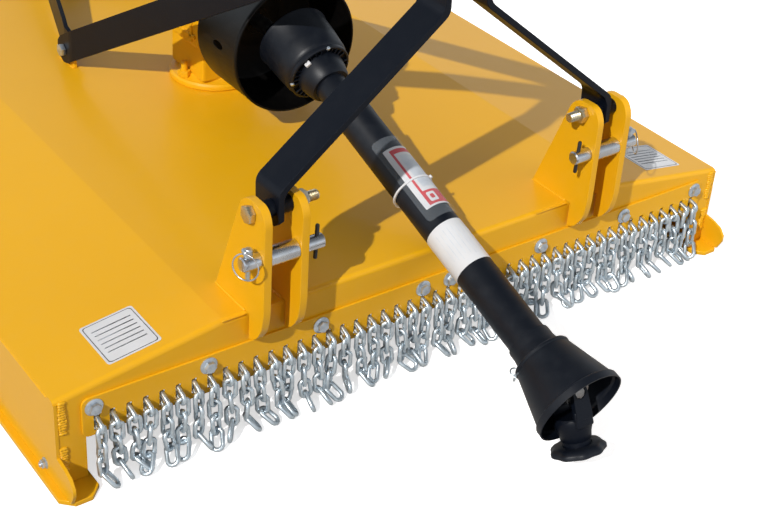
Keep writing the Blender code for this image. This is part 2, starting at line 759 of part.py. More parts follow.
def gearCone(angle):
    # half outline of a bevel gear blank, as (radius, distance back from the crossing of the shafts)
    outer = (coneLength * math.sin(angle) - gap, coneLength * math.cos(angle) + gap)
    small = coneLength - gearFace
    inner = (small * math.sin(angle) - gap, small * math.cos(angle) + gap)
    return outer, inner


def makeInputShaft(spin):
    outer, inner = gearCone(math.pi / 2 - crownAngle)
    tip = jointY + 62 * mm
    profile = [(0, tip), (inputRadius, tip), (inputRadius, spindleY - outer[1] - gearBack),
               (outer[0] - 6 * mm, spindleY - outer[1] - gearBack), (outer[0], spindleY - outer[1]),
               (inner[0], spindleY - inner[1]), (0, spindleY - inner[1])]
    return attach(turned("input_shaft", profile, "Y", (0, 0, inputZ), 12, "steel"), spin)


def makeRotorShaft(spin):
    outer, inner = gearCone(crownAngle)
    seat = carrierTop
    profile = [(0, seat - 58 * mm), (outputRadius - 4 * mm, seat - 58 * mm), (outputRadius - 4 * mm, seat),
               (44 * mm, seat + gap), (44 * mm, seat + 20 * mm), (outputRadius, seat + 34 * mm),
               (outputRadius, inputZ - outer[1] - gearBack), (outer[0] - 8 * mm, inputZ - outer[1] - gearBack),
               (outer[0], inputZ - outer[1]), (inner[0], inputZ - inner[1]), (outputRadius, inputZ - inner[1]),
               (outputRadius, boxTop - 8 * mm), (0, boxTop - 8 * mm)]
    return attach(turned("rotor_shaft", profile, "Z", (0, spindleY, 0), 12, "steel"), spin)


def makeGearboxCover(machine):
    low = boxTop + gap
    profile = [(0, low), (68 * mm, low), (68 * mm, low + 10 * mm), (18 * mm, low + 14 * mm),
               (14 * mm, low + 24 * mm), (0, low + 24 * mm)]
    return attach(turned("gearbox_top_cover", profile, "Z", (0, spindleY, 0), 12, "yellow"), machine)


def makeInputShield(machine):
    hole = clear(noseRadius, 20)
    back = noseFront + 6 * mm
    profile = [(shieldRadius, shieldFront), (shieldRadius, back - 12 * mm), (shieldRadius - 12 * mm, back),
               (hole, back), (hole, back - shieldWall), (shieldRadius - 13 * mm, back - shieldWall),
               (shieldRadius - shieldWall, back - 13 * mm), (shieldRadius - shieldWall, shieldFront)]
    return attach(smooth(turned("input_shield", profile, "Y", (0, 0, inputZ), 20, "plastic")), machine)


def makeCarrier(spin):
    bore = clear(outputRadius - 4 * mm, 16)
    rim = carrierTop - carrierDrop
    profile = [(bore, carrierTop), (120 * mm, carrierTop), (carrierRadius, rim + 6 * mm), (carrierRadius, rim - 2 * mm),
               (120 * mm, carrierTop - carrierSheet), (bore, carrierTop - carrierSheet)]
    pan = turned("blade_carrier", profile, "Z", (0, spindleY, 0), 16, "black")
    for side in (-1, 1):
        spot = (side * bladePivot, spindleY, 0)
        fuse(pan, rod("boss", 34 * mm, "Z", spot, bladeTop + gap, bossTop, 8))
        cut(pan, rod("hole", bladeBoltRadius + gap, "Z", spot, 0.05, 0.2, 12))
    return attach(pan, spin)


bossTop = carrierTop - 6 * mm


def makeNut(spin):
    top = carrierTop - carrierSheet - gap
    spot = (0, spindleY, 0)
    nut = rod("spindle_nut", 34 * mm, "Z", spot, top - 30 * mm, top, 6, "steel")
    cut(nut, rod("hole", outputRadius - 4 * mm + gap, "Z", spot, top - 0.05, top + 0.01, 12))
    return attach(nut, spin)


def makeBlade(swing, side, name):
    # a straight bar with a round end at its bolt and a sharpened outer part
    half = bladeWidth / 2
    outline = arc((bladePivot, 0), half, 90, 270, 6)
    outline += [(bladeReach - 30 * mm, -half), (bladeReach, -half + 20 * mm), (bladeReach, half)]
    outline = [(side * x, spindleY + side * y) for x, y in outline]
    blade = prism(name, outline, "Z", bladeTop - bladeThick, bladeTop, "black")
    edge = bladeTop - bladeThick + 2 * mm
    wedge = [(-half - 1 * mm, edge), (-half + 22 * mm, bladeTop + 1 * mm), (-half - 1 * mm, bladeTop + 1 * mm)]
    wedge = [(spindleY + side * y, z) for y, z in wedge]
    ends = sorted((side * (bladePivot + 190 * mm), side * (bladeReach + 10 * mm)))
    cut(blade, prism("bevel", wedge, "X", *ends))
    spot = (side * bladePivot, spindleY, 0)
    cut(blade, rod("hole", clear(bladeBoltRadius, 12), "Z", spot, 0.05, 0.2, 12))
    return attach(blade, swing)


def makeBladeBolt(spin, side, name):
    spot = (side * bladePivot, spindleY, 0)
    under = bladeTop - bladeThick - gap
    nut = bossTop + gap
    profile = [(0, under - 14 * mm), (24 * mm, under - 14 * mm), (26 * mm, under), (bladeBoltRadius, under),
               (bladeBoltRadius, nut), (24 * mm, nut), (24 * mm, nut + 18 * mm), (bladeBoltRadius - 2 * mm, nut + 18 * mm),
               (bladeBoltRadius - 2 * mm, nut + 26 * mm), (0, nut + 26 * mm)]
    return attach(turned(name, profile, "Z", spot, 12, "steel"), spin)


foldSpot = (skirtFront + foldRadius, deckTop - foldRadius)
jointY = foldSpot[0] + ((inputZ - foldSpot[1]) * math.cos(driveSlope)
                        - (outerTube + foldRadius + restGap)) / math.sin(driveSlope)


def earOutline(root):
    # side view of a yoke's ear: round about the pin, running to its root
    return arc((0, 0), earRadius, 0, 180, 6) + [(-earRadius - 2 * mm, -root), (earRadius + 2 * mm, -root)]


def addYoke(body, earAxis, root):
    # two ears about the joint centre; the yoke's body lies along -Y of its own frame
    ears = []
    for low, high in ((-earOuter, -earInner), (earInner, earOuter)):
        outline = earOutline(root)
        if earAxis == "X":
            side = [(y, x) for x, y in outline]
        else:
            side = outline
        ears.append(prism("ear", side, earAxis, low, high))
    fuse(body, *ears)
    axis = earAxis
    cut(body, rod("pin hole", clear(trunnion, 8), axis, (0, 0, 0), -0.06, 0.06, 8, phase=22.5))
    return body


def makeGearboxYoke(machine):
    # ears above and below the joint, so the cross turns about the upright line
    frame = joint("gearbox_yoke_place", machine, (0, jointY, inputZ), math.pi)
    bore = clear(inputRadius, 12)
    profile = [(0, -yokeBase), (38 * mm, -yokeBase), (38 * mm, -yokeBase - 8 * mm), (28 * mm, -yokeBase - 14 * mm),
               (28 * mm, -yokeBase - 80 * mm), (bore, -yokeBase - 80 * mm), (bore, -yokeBase - 12 * mm),
               (0, -yokeBase - 12 * mm)]
    body = turned("gearbox_yoke", profile, "Y", (0, 0, 0), 12, "black")
    addYoke(body, "Z", yokeBase + 4 * mm)
    return attach(body, frame, True)


def makeCross(place, name, second):
    # four trunnions: one pair along X, the other along the given axis of the joint's frame
    reach = earOuter - 1 * mm
    body = rod(name, trunnion, "X", (0, 0, 0), -reach, reach, 8, "steel")
    fuse(body, rod("pair", trunnion, second, (0, 0, 0), -reach, reach, 8),
         box("heart", (-18 * mm, -18 * mm, -18 * mm), (18 * mm, 18 * mm, 18 * mm)))
    return attach(body, place, True)


def makeInnerDrive(place):
    seat = (innerTube - tubeWall) * math.cos(math.pi / 20) - gap
    profile = [(0, -yokeBase), (38 * mm, -yokeBase), (38 * mm, -yokeBase - 6 * mm), (seat, -yokeBase - 8 * mm),
               (seat, -yokeBase - 24 * mm), (16 * mm, -yokeBase - 28 * mm), (16 * mm, -560 * mm),
               (12 * mm, -560 * mm), (12 * mm, -yokeBase - 40 * mm), (0, -yokeBase - 40 * mm)]
    body = turned("inner_drive_tube", profile, "Y", (0, 0, 0), 12, "steel")
    return attach(addYoke(body, "X", yokeBase + 4 * mm), place, True)


def makeBell(place):
    front = collarAt
    w = tubeWall
    profile = [(bellRearRadius, -bellRear), (bellRearRadius - w, -bellRear), (collarRadius - w, -front + w),
               (innerTube + gap, -front + w), (innerTube + gap, -front), (collarRadius, -front),
               (collarRadius + 2 * mm, -front + 8 * mm)]
    return attach(smooth(turned("driveline_bell", profile, "Y", (0, 0, 0), 20, "plastic")), place, True)


def makeCollar(place):
    low = collarAt + gap
    high = low + collarLength
    bore = innerTube + gap
    profile = [(bore, -low), (collarRadius, -low), (collarRadius, -high), (innerTube + 10 * mm, -high),
               (innerTube + 4 * mm, -high - 22 * mm), (bore, -high - 22 * mm)]
    return attach(turned("bell_bearing_collar", profile, "Y", (0, 0, 0), 20, "plastic"), place, True)


def makeInnerShieldTube(place):
    start = collarAt + gap
    profile = [(innerTube, -start), (innerTube, -innerTubeEnd), (innerTube - tubeWall, -innerTubeEnd),
               (innerTube - tubeWall, -start)]
    return attach(smooth(turned("inner_shield_tube", profile, "Y", (0, 0, 0), 20, "plastic")), place, True)


def makeOuterDrive(place):
    # modelled in the driveline's frame, with its yoke at the tractor joint
    root = tractorJoint - yokeBase
    seat = (outerTube - tubeWall) * math.cos(math.pi / 20) - gap
    bore = 16 * mm + gap
    profile = [(0, -root), (38 * mm, -root), (38 * mm, -root + 6 * mm), (seat, -root + 8 * mm),
               (seat, -root + 40 * mm), (21 * mm, -root + 44 * mm), (21 * mm, -300 * mm), (bore, -300 * mm),
               (bore, -root + 60 * mm), (0, -root + 60 * mm)]
    body = turned("outer_drive_tube", profile, "Y", (0, 0, 0), 12, "steel")
    ears = []
    for low, high in ((-earOuter, -earInner), (earInner, earOuter)):
        side = [(-tractorJoint - y, x) for x, y in earOutline(yokeBase + 4 * mm)]
        ears.append(prism("ear", side, "X", low, high))
    fuse(body, *ears)
    cut(body, rod("pin hole", clear(trunnion, 8), "X", (0, -tractorJoint, 0), -0.06, 0.06, 8, phase=22.5))
    return attach(body, place, True)


def makeOuterShieldTube(place):
    inner = outerTube - tubeWall
    lip = clear(innerTube, 20)
    start = outerTubeStart
    profile = [(outerTube, -start), (outerTube, -outerTubeEnd), (inner, -outerTubeEnd), (inner, -start - 10 * mm),
               (lip, -start - 10 * mm), (lip, -start)]
    return attach(smooth(turned("outer_shield_tube", profile, "Y", (0, 0, 0), 20, "plastic")), place, True)


def makeCone(place):
    bore = outerTube + gap
    w = tubeWall
    profile = [(bore, -coneAt + 42 * mm), (bore + 2.5 * mm, -coneAt + 42 * mm), (bore + 7 * mm, -coneAt + 2 * mm),
               (coneSmall, -coneAt - 4 * mm), (coneBig, -coneEnd + 8 * mm), (coneBig + 1 * mm, -coneEnd),
               (coneBig - w, -coneEnd), (coneBig - w, -coneEnd + 8 * mm), (coneSmall - w, -coneAt - 7 * mm),
               (bore, -coneAt - 4 * mm)]
    return attach(smooth(turned("driveline_cone", profile, "Y", (0, 0, 0), 20, "plastic")), place, True)


def makeTractorYoke(place):
    bore = inputRadius + gap
    end = tractorYokeEnd
    profile = [(0, -yokeBase), (36 * mm, -yokeBase), (36 * mm, -yokeBase - 8 * mm), (26 * mm, -yokeBase - 14 * mm),
               (26 * mm, -end + 6 * mm), (30 * mm, -end + 4 * mm), (30 * mm, -end), (bore, -end),
               (bore, -yokeBase - 12 * mm), (0, -yokeBase - 12 * mm)]
    body = turned("tractor_yoke", profile, "Y", (0, 0, 0), 12, "black")
    return attach(addYoke(body, "Z", yokeBase + 4 * mm), place, True)


def makeLockCollar(place):
    bore = clear(26 * mm, 12)
    low, high = lockAt, lockAt + lockLength
    profile = [(bore, -low), (lockRadius - 8 * mm, -low), (lockRadius, -low - 6 * mm), (lockRadius, -high + 4 * mm),
               (lockRadius - 8 * mm, -high), (bore, -high)]
    return attach(turned("yoke_lock_collar", profile, "Y", (0, 0, 0), 12, "black"), place, True)


armBend = braceFootY + 34 * mm
neck = 70 * mm                      # from the pivot to where an arm has its full height


def armPlace(side):
    rearX = casterTube - 8 * mm

    def place(y):
        start, end = armBend, casterY - 20 * mm
        share = min(1, max(0, (y - start) / (end - start)))
        return side * (armX + (rearX - armX) * share)
    return place


def makeTailFrame(height):
    rear = (casterY - 4 * mm, casterZ)
    front = (braceFootY, braceFootZ)
    tube = rod("tail_frame", casterTube, "Z", (0, casterY, casterZ), -casterHeight / 2, casterHeight / 2, 12,
               "black")
    line = Vector((rear[0] - front[0], rear[1] - front[1])).normalized()
    square = Vector((-line.y, line.x)) * armHeight / 2
    nose = 30 * mm
    for side in (-1, 1):
        outline = [(rear[0] + square.x, rear[1] + square.y)]
        outline += [(front[0] + neck + square.x, front[1] + neck * line.y / line.x + square.y)]
        outline += arc(front, nose, 100, 270, 6)
        outline += [(front[0] + neck - square.x, front[1] + neck * line.y / line.x - square.y),
                    (rear[0] - square.x, rear[1] - square.y)]
        arm = bentPlate("arm", outline, (armBend,), armPlace(side), armSheet, None)
        cut(arm, rod("hole", clear(braceBoltRadius, 12), "X", (side * armX, *front), -0.02, 0.02, 12))
        fuse(tube, arm)
    reach = abs(armPlace(1)(tieY)) - 2 * mm
    fuse(tube, box("tie", (-reach, tieY, tieZ - 22 * mm), (reach, tieY + tieSheet, tieZ + 22 * mm)),
         rod("bolt", 8 * mm, "Y", (0, 0, tieZ), tieY - 24 * mm, tieY + 4 * mm, 8),
         rod("bolt head", 15 * mm, "Y", (0, 0, tieZ), tieY - 34 * mm, tieY - 23 * mm, 6))
    cut(tube, rod("bore", clear(spindleRadius, 12), "Z", (0, casterY, casterZ), -0.1, 0.1, 12))
    return attach(tube, height)


tieY = deckRear - 28 * mm
tieSheet = 8 * mm
tieZ = braceFootZ + (casterZ - braceFootZ) * (tieY - braceFootY) / (casterY - braceFootY)
tailDrop = 6 * deg


def makeHeightBracket(machine):
    drop = (tieY - braceFootY) * math.sin(tailDrop)
    low, high = tieY - gap - 10 * mm, tieY - gap
    top = tieZ + 30 * mm
    outline = [(-45 * mm, deckTop + gap), (45 * mm, deckTop + gap), (30 * mm, deckTop + 30 * mm), (30 * mm, top - 12 * mm),
               (18 * mm, top), (-18 * mm, top), (-30 * mm, top - 12 * mm), (-30 * mm, deckTop + 30 * mm)]
    bracket = prism("tail_height_bracket", outline, "Y", low, high, "yellow")
    room = 8 * mm + 1 * mm
    slot = [(-room, tieZ - drop - room), (room, tieZ - drop - room), (room, tieZ + room), (-room, tieZ + room)]
    cut(bracket, prism("slot", slot, "Y", low - 0.01, high + 0.01))
    return attach(bracket, machine)


axleZ = tyreRadius
axleY = casterY + trail
crownZ = tyreRadius * 2 + 7 * mm


def makeFork(swivel):
    inner = tyreWidth / 2 + 7 * mm
    outer = inner + 10 * mm
    plate = 12 * mm
    top = casterZ + casterHeight / 2 + gap
    profile = [(0, crownZ + 2 * mm), (spindleRadius, crownZ + 2 * mm), (spindleRadius, top), (30 * mm, top),
               (30 * mm, top + 10 * mm), (0, top + 10 * mm)]
    fork = turned("caster_fork", profile, "Z", (0, casterY, 0), 12, "black")
    seat = casterZ - casterHeight / 2 - gap
    fuse(fork, box("crown", (-outer, casterY - 36 * mm, crownZ), (outer, casterY + 36 * mm, seat)))
    for side in (-1, 1):
        low, high = sorted((side * inner, side * outer))
        outline = [(casterY + 32 * mm, crownZ + plate / 2), (casterY - 32 * mm, crownZ + plate / 2)]
        outline += arc((axleY, axleZ), 26 * mm, 180, 360, 6)
        fuse(fork, prism("arm", outline, "X", low, high))
    fuse(fork, rod("axle", 10 * mm, "X", (0, axleY, axleZ), -outer - 14 * mm, outer + 14 * mm, 12))
    return attach(fork, swivel)


def makeHub(spin):
    half = tyreWidth / 2 + 6 * mm
    rim = 95 * mm
    width = 30 * mm
    bore = clear(10 * mm, 12)
    profile = [(bore, -half), (24 * mm, -half), (24 * mm, -10 * mm), (rim - 10 * mm, -8 * mm), (rim - 10 * mm, -width),
               (rim, -width), (rim, width), (rim - 10 * mm, width), (rim - 10 * mm, 8 * mm), (24 * mm, 10 * mm),
               (24 * mm, half), (bore, half)]
    return attach(turned("tail_wheel_hub", profile, "X", (0, axleY, axleZ), 12, "yellow"), spin)


def makeTyre(spin):
    rim = clear(95 * mm, 20)
    half = tyreWidth / 2
    profile = [(rim, -30 * mm), (rim + 12 * mm, -half), (tyreRadius - 16 * mm, -half), (tyreRadius, -half + 18 * mm),
               (tyreRadius, half - 18 * mm), (tyreRadius - 16 * mm, half), (rim + 12 * mm, half), (rim, 30 * mm)]
    return attach(turned("tail_wheel_tyre", profile, "X", (0, axleY, axleZ), 20, "rubber"), spin)


def makeTopPin(place):
    head = -topClipX + 22 * mm
    end = topClipX + 16 * mm
    profile = [(0, head - 10 * mm), (19 * mm, head - 10 * mm), (19 * mm, head), (topPinRadius, head),
               (topPinRadius, end - 2 * mm), (topPinRadius - 2 * mm, end), (0, end)]
    pin = turned("top_link_pin", profile, "X", (0, mastY, topPinZ), 12, "plated")
    cut(pin, rod("hole", linchRadius + gap, "Z", (topClipX, mastY, topPinZ), -0.05, 0.05, 8))
    return attach(pin, place)


topClipX = mastTabX + legBar / 2 + braceSheet + 26 * mm


def buildMachine():
    clearScene()
    machine = joint("machine", None, (0, 0, 0))
    makeDeck(machine)
    makeGuard(machine)
    makeChains(joint("chain_swing", machine, (0, rodY, rodZ)))
    offset = lugGap / 2 + lugSheet / 2
    for side, word in ((-1, "left"), (1, "right")):
        makeBand(machine, side, "side_band_" + word)
        makeShoe(machine, side, "skid_shoe_" + word)
        makeLug(machine, side * (lugCentre + offset), "hitch_lug_" + word + "_outer")
        makeLug(machine, side * (lugCentre - offset), "hitch_lug_" + word + "_inner")
        makeLeg(machine, side, "mast_leg_" + word)
        makeBrace(machine, side, "rear_brace_" + word)
        makeFootPlate(machine, side, "brace_foot_plate_" + word)
        makeFootBolt(machine, side, "brace_foot_bolt_" + word)
        pinPlace = joint("hitch_pin_slide_" + word, machine, (side * lugCentre, pinY, pinZ))
        makeHitchPin(pinPlace, side, "hitch_pin_" + word)
        makeSleeve(joint("hitch_sleeve_spin_" + word, machine, (side * lugCentre, pinY, pinZ)), side,
                   "hitch_sleeve_" + word)
        linchPlace = joint("linch_pin_slide_" + word, pinPlace, (linchX(side), pinY, pinZ))
        makeLinchPin(linchPlace, linchX(side), pinY, pinZ, side, "linch_pin_" + word)
        ringX = linchX(side) + side * 20 * mm
        makeRing(joint("linch_ring_hinge_" + word, linchPlace, (ringX, pinY, linchTop)), ringX,
                 "linch_ring_" + word)
    makeMastBolts(machine)
    topPlace = joint("top_pin_slide", machine, (0, mastY, topPinZ))
    makeTopPin(topPlace)
    makeLinchPin(joint("top_clip_slide", topPlace, (topClipX, mastY, topPinZ)), topClipX, mastY, topPinZ, 1,
                 "top_pin_clip", False)
    makeGearbox(machine)
    makeGearboxCover(machine)
    makeInputShield(machine)
    makeGearboxYoke(machine)
    makeInputShaft(joint("input_spin", machine, (0, spindleY, inputZ)))
    rotor = joint("rotor_spin", machine, (0, spindleY, bladeTop))
    makeRotorShaft(rotor)
    makeCarrier(rotor)
    makeNut(rotor)
    for side, word in ((-1, "left"), (1, "right")):
        makeBladeBolt(rotor, side, "blade_bolt_" + word)
        makeBlade(joint("blade_swing_" + word, rotor, (side * bladePivot, spindleY, bladeTop)), side,
                  "blade_" + word)
    crossPlace = joint("driveline_yaw", machine, (0, jointY, inputZ))
    makeCross(crossPlace, "gearbox_joint_cross", "Z")
    drive = joint("driveline_pitch", crossPlace, (0, jointY, inputZ), driveSlope)
    makeInnerDrive(drive)
    innerShield = joint("inner_shield_spin", drive, (0, jointY, inputZ), driveSlope)
    makeBell(innerShield)
    makeCollar(innerShield)
    makeInnerShieldTube(innerShield)
    slide = joint("driveline_slide", drive, (0, jointY, inputZ), driveSlope)
    makeOuterDrive(slide)
    outerShield = joint("outer_shield_spin", slide, (0, jointY, inputZ), driveSlope)
    makeOuterShieldTube(outerShield)
    makeCone(outerShield)
    far = (0, jointY - tractorJoint * math.cos(driveSlope), inputZ - tractorJoint * math.sin(driveSlope))
    second = joint("tractor_joint_pitch", slide, far, tractorSlope)
    makeCross(second, "tractor_joint_cross", "Z")
    yoke = joint("tractor_joint_yaw", second, far, tractorSlope)
    makeTractorYoke(yoke)
    makeLockCollar(joint("lock_collar_slide", yoke, far, tractorSlope))
    height = joint("tail_height", machine, (0, braceFootY, braceFootZ))
    makeTailFrame(height)
    makeHeightBracket(machine)
    swivel = joint("caster_swivel", height, (0, casterY, casterZ))
    makeFork(swivel)
    wheel = joint("tail_wheel_spin", swivel, (0, axleY, axleZ))
    makeHub(wheel)
    makeTyre(wheel)
    centreMachine(machine)


def centreMachine(machine):
    # the machine's box is centred over the origin; across it is symmetrical already
    bpy.context.view_layer.update()
    reach = []
    for thing in bpy.data.objects:
        if thing.type == "MESH":
            reach += [(thing.matrix_world @ v.co).y for v in thing.data.vertices]
    machine.location.y = -(min(reach) + max(reach)) / 2
    bpy.context.view_layer.update()


buildMachine()
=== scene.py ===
# Looks of the single-spindle rotary cutter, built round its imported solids.

import json
import math
import random

import bmesh
import bpy
from mathutils import Matrix, Vector


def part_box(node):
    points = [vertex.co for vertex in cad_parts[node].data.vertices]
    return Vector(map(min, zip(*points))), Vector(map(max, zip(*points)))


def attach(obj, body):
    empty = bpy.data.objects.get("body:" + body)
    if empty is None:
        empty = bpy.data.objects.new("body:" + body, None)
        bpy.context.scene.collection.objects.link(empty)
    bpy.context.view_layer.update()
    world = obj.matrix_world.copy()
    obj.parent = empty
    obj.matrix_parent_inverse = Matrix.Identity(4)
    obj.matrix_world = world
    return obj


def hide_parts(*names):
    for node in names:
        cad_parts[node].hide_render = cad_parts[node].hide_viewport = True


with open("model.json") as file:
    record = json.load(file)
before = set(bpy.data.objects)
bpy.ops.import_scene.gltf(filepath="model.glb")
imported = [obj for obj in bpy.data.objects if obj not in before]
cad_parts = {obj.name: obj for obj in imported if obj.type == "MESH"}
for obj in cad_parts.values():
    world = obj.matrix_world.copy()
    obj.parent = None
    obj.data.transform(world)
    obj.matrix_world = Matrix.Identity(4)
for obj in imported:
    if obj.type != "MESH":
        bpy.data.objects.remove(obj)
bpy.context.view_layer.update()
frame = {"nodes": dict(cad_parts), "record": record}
scene = bpy.context.scene
bodyOf = {node: body for body, members in frame["record"]["behaviour"]["bodies"].items() for node in members}
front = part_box("deck_pan")[0].y - 0.0053       # face of the chain guard
print("frame loaded")


def at(x, y, z):
    # a place in millimetres, from the chain guard's face and the ground
    return Vector((x * 0.001, front + y * 0.001, z * 0.001))


# camera, light and floor

view = {"lens": 67.37, "shiftX": -0.0599, "shiftY": -0.0729,
        "rows": ((0.794028, 0.254056, -0.552245, -1.535433),
                 (-0.602343, 0.451182, -0.658497, -2.621272),
                 (0.081868, 0.855506, 0.51128, 1.750563), (0, 0, 0, 1))}


def makeCamera():
    lens = bpy.data.cameras.new("camera")
    lens.sensor_width = 36
    lens.lens = view["lens"]
    lens.shift_x, lens.shift_y = view["shiftX"], view["shiftY"]
    lens.clip_end = 50
    camera = bpy.data.objects.new("camera", lens)
    camera.matrix_world = Matrix(view["rows"])
    scene.collection.objects.link(camera)
    scene.camera = camera


studio = {"sun": 3.3, "sunAngle": 0.9, "sunFrom": (-0.69, -0.36, 0.625), "sunColour": (1, 0.975, 0.94),
          "panel": 15, "panelSize": 1.6, "panelFrom": (1.5, -2.2, 0.8), "panelColour": (1, 0.97, 0.93),
          "sky": 0.40, "skyColour": (0.93, 0.95, 1, 1), "skyFade": (0.15, 0.75), "skySheen": (1.05, 0.20),
          "skySheenColour": (0.86, 0.93, 1, 1), "floorHalf": 14, "floorZ": -0.0005, "floorRough": 0.9,
          "floor": (0.86, 0.86, 0.86), "ground": (0.15, 0.13, 0.10), "floorGlow": 0.62, "floorSheen": 0.30}
white = (1, 1, 1, 1)


def addLamp(name, kind, power, colour, origin):
    light = bpy.data.lights.new(name, kind)
    light.energy = power
    light.color = colour
    lamp = bpy.data.objects.new(name, light)
    lamp.rotation_euler = Vector(origin).to_track_quat("Z", "Y").to_euler()
    scene.collection.objects.link(lamp)
    return lamp


def makeLights():
    sun = addLamp("sun", "SUN", studio["sun"], studio["sunColour"], studio["sunFrom"])
    sun.data.angle = math.radians(studio["sunAngle"])
    panel = addLamp("panel", "AREA", studio["panel"], studio["panelColour"], studio["panelFrom"])
    panel.data.size = studio["panelSize"]
    panel.location = studio["panelFrom"]
    panel.visible_glossy = False


def seenDirectly(tree, path):
    # one for rays that come straight from the camera, also through clear film
    return combine(tree, path.outputs["Is Camera Ray"], path.outputs["Is Transmission Ray"], "MAXIMUM")


def backdrop(tree, colour, strength=1):
    node = tree.nodes.new("ShaderNodeBackground")
    node.inputs["Color"].default_value = colour
    node.inputs["Strength"].default_value = strength
    return node


def mixShader(tree, factor, one, other):
    node = tree.nodes.new("ShaderNodeMixShader")
    tree.links.new(factor, node.inputs["Fac"])
    tree.links.new(one.outputs[0], node.inputs[1])
    tree.links.new(other.outputs[0], node.inputs[2])
    return node


def makeSky():
    world = bpy.data.worlds.new("sky")
    scene.world = world
    world.use_nodes = True
    tree = world.node_tree
    tree.nodes.clear()
    path = tree.nodes.new("ShaderNodeLightPath")
    # reflections see a sky that is bright near the ground and dim overhead
    place = tree.nodes.new("ShaderNodeTexCoord")
    height = tree.nodes.new("ShaderNodeSeparateXYZ")
    tree.links.new(place.outputs["Generated"], height.inputs[0])
    fade = ramp(tree, height.outputs["Z"], *studio["skyFade"], *studio["skySheen"])
    sheen = backdrop(tree, studio["skySheenColour"])
    tree.links.new(fade, sheen.inputs["Strength"])
    tone = backdrop(tree, studio["skyColour"], studio["sky"])
    lit = mixShader(tree, path.outputs["Is Glossy Ray"], tone, sheen)
    shown = mixShader(tree, seenDirectly(tree, path), lit, backdrop(tree, white))
    out = tree.nodes.new("ShaderNodeOutputWorld")
    tree.links.new(shown.outputs[0], out.inputs["Surface"])


def makeFloor():
    bm = bmesh.new()
    bmesh.ops.create_grid(bm, x_segments=1, y_segments=1, size=studio["floorHalf"])
    floor = bpy.data.objects.new("floor", meshOf(bm, "floor"))
    floor.location.z = studio["floorZ"]
    scene.collection.objects.link(floor)
    material = bpy.data.materials.new("floor")
    material.use_nodes = True
    tree = material.node_tree
    shader = tree.nodes["Principled BSDF"]
    shader.inputs["Roughness"].default_value = studio["floorRough"]
    shader.inputs["Emission Color"].default_value = white
    path = tree.nodes.new("ShaderNodeLightPath")
    sheen = combine(tree, path.outputs["Is Glossy Ray"], studio["floorSheen"])
    shown = combine(tree, seenDirectly(tree, path), sheen, "MAXIMUM")
    tone = tree.nodes.new("ShaderNodeMix")
    tone.data_type = "RGBA"
    tone.inputs[6].default_value = (*studio["ground"], 1)
    tone.inputs[7].default_value = (*studio["floor"], 1)
    tree.links.new(shown, tone.inputs["Factor"])
    tree.links.new(tone.outputs[2], shader.inputs["Base Color"])
    tree.links.new(combine(tree, shown, studio["floorGlow"]), shader.inputs["Emission Strength"])
    floor.data.materials.append(material)


# shader node groups

groupInputs = {
    "coat": {"Colour": "colour", "Shade": "shade", "Dust": "dust", "Dust Amount": "dustAmount",
             "Tone Scale": "toneScale", "Skin Scale": "skinScale", "Gloss": "gloss",
             "Gloss Spread": "spread"},
    "metal": {"Colour": "colour", "Shade": "shade", "Stain": "stain", "Stain Amount": "stainAmount",
              "Cloud Scale": "cloudScale", "Crystal Scale": "crystalScale", "Gloss": "gloss",
              "Gloss Spread": "spread"}}
tints = ("Colour", "Shade", "Dust", "Stain")


def startGroup(name, kind):
    # a node group with named inputs, that puts out a colour, a roughness and a height
    group = bpy.data.node_groups.new(name, "ShaderNodeTree")
    for label in groupInputs[kind]:
        socket = "NodeSocketColor" if label in tints else "NodeSocketFloat"
        group.interface.new_socket(label, in_out="INPUT", socket_type=socket)
    for label in ("Colour", "Roughness", "Height"):
        socket = "NodeSocketColor" if label in tints else "NodeSocketFloat"
        group.interface.new_socket(label, in_out="OUTPUT", socket_type=socket)
    return group, group.nodes.new("NodeGroupInput"), group.nodes.new("NodeGroupOutput")


def noise(group, vector, scale, detail):
    # noise whose scale is a number or a group input
    node = group.nodes.new("ShaderNodeTexNoise")
    node.inputs["Detail"].default_value = detail
    group.links.new(vector, node.inputs["Vector"])
    if isinstance(scale, (int, float)):
        node.inputs["Scale"].default_value = scale
    else:
        group.links.new(scale, node.inputs["Scale"])
    return node.outputs["Fac"]


def ramp(tree, value, low, high, toLow=0, toHigh=1):
    node = tree.nodes.new("ShaderNodeMapRange")
    node.inputs["From Min"].default_value = low
    node.inputs["From Max"].default_value = high
    node.inputs["To Min"].default_value = toLow
    node.inputs["To Max"].default_value = toHigh
    tree.links.new(value, node.inputs["Value"])
    return node.outputs["Result"]


def combine(tree, one, other, operation="MULTIPLY"):
    node = tree.nodes.new("ShaderNodeMath")
    node.operation = operation
    for slot, value in enumerate((one, other)):
        if isinstance(value, (int, float)):
            node.inputs[slot].default_value = value
        else:
            tree.links.new(value, node.inputs[slot])
    return node.outputs[0]


def mixColour(group, factor, one, other):
    node = group.nodes.new("ShaderNodeMix")
    node.data_type = "RGBA"
    group.links.new(factor, node.inputs["Factor"])
    group.links.new(one, node.inputs[6])
    group.links.new(other, node.inputs[7])
    return node.outputs[2]


def roughen(group, start, pattern, middle, soiled, dulling):
    # the gloss, spread about a pattern's middle value and dulled where it is soiled
    spread = combine(group, combine(group, pattern, middle, "SUBTRACT"), start.outputs["Gloss Spread"])
    rough = combine(group, start.outputs["Gloss"], spread, "ADD")
    return combine(group, rough, combine(group, soiled, dulling), "ADD")


skinNoise = {"toneDetail": 4, "tone": (0.35, 0.68), "skinDetail": 2, "dustScale": 38, "dustDetail": 6,
             "dust": (0.45, 0.8), "middle": 0.5, "dulling": 0.8}


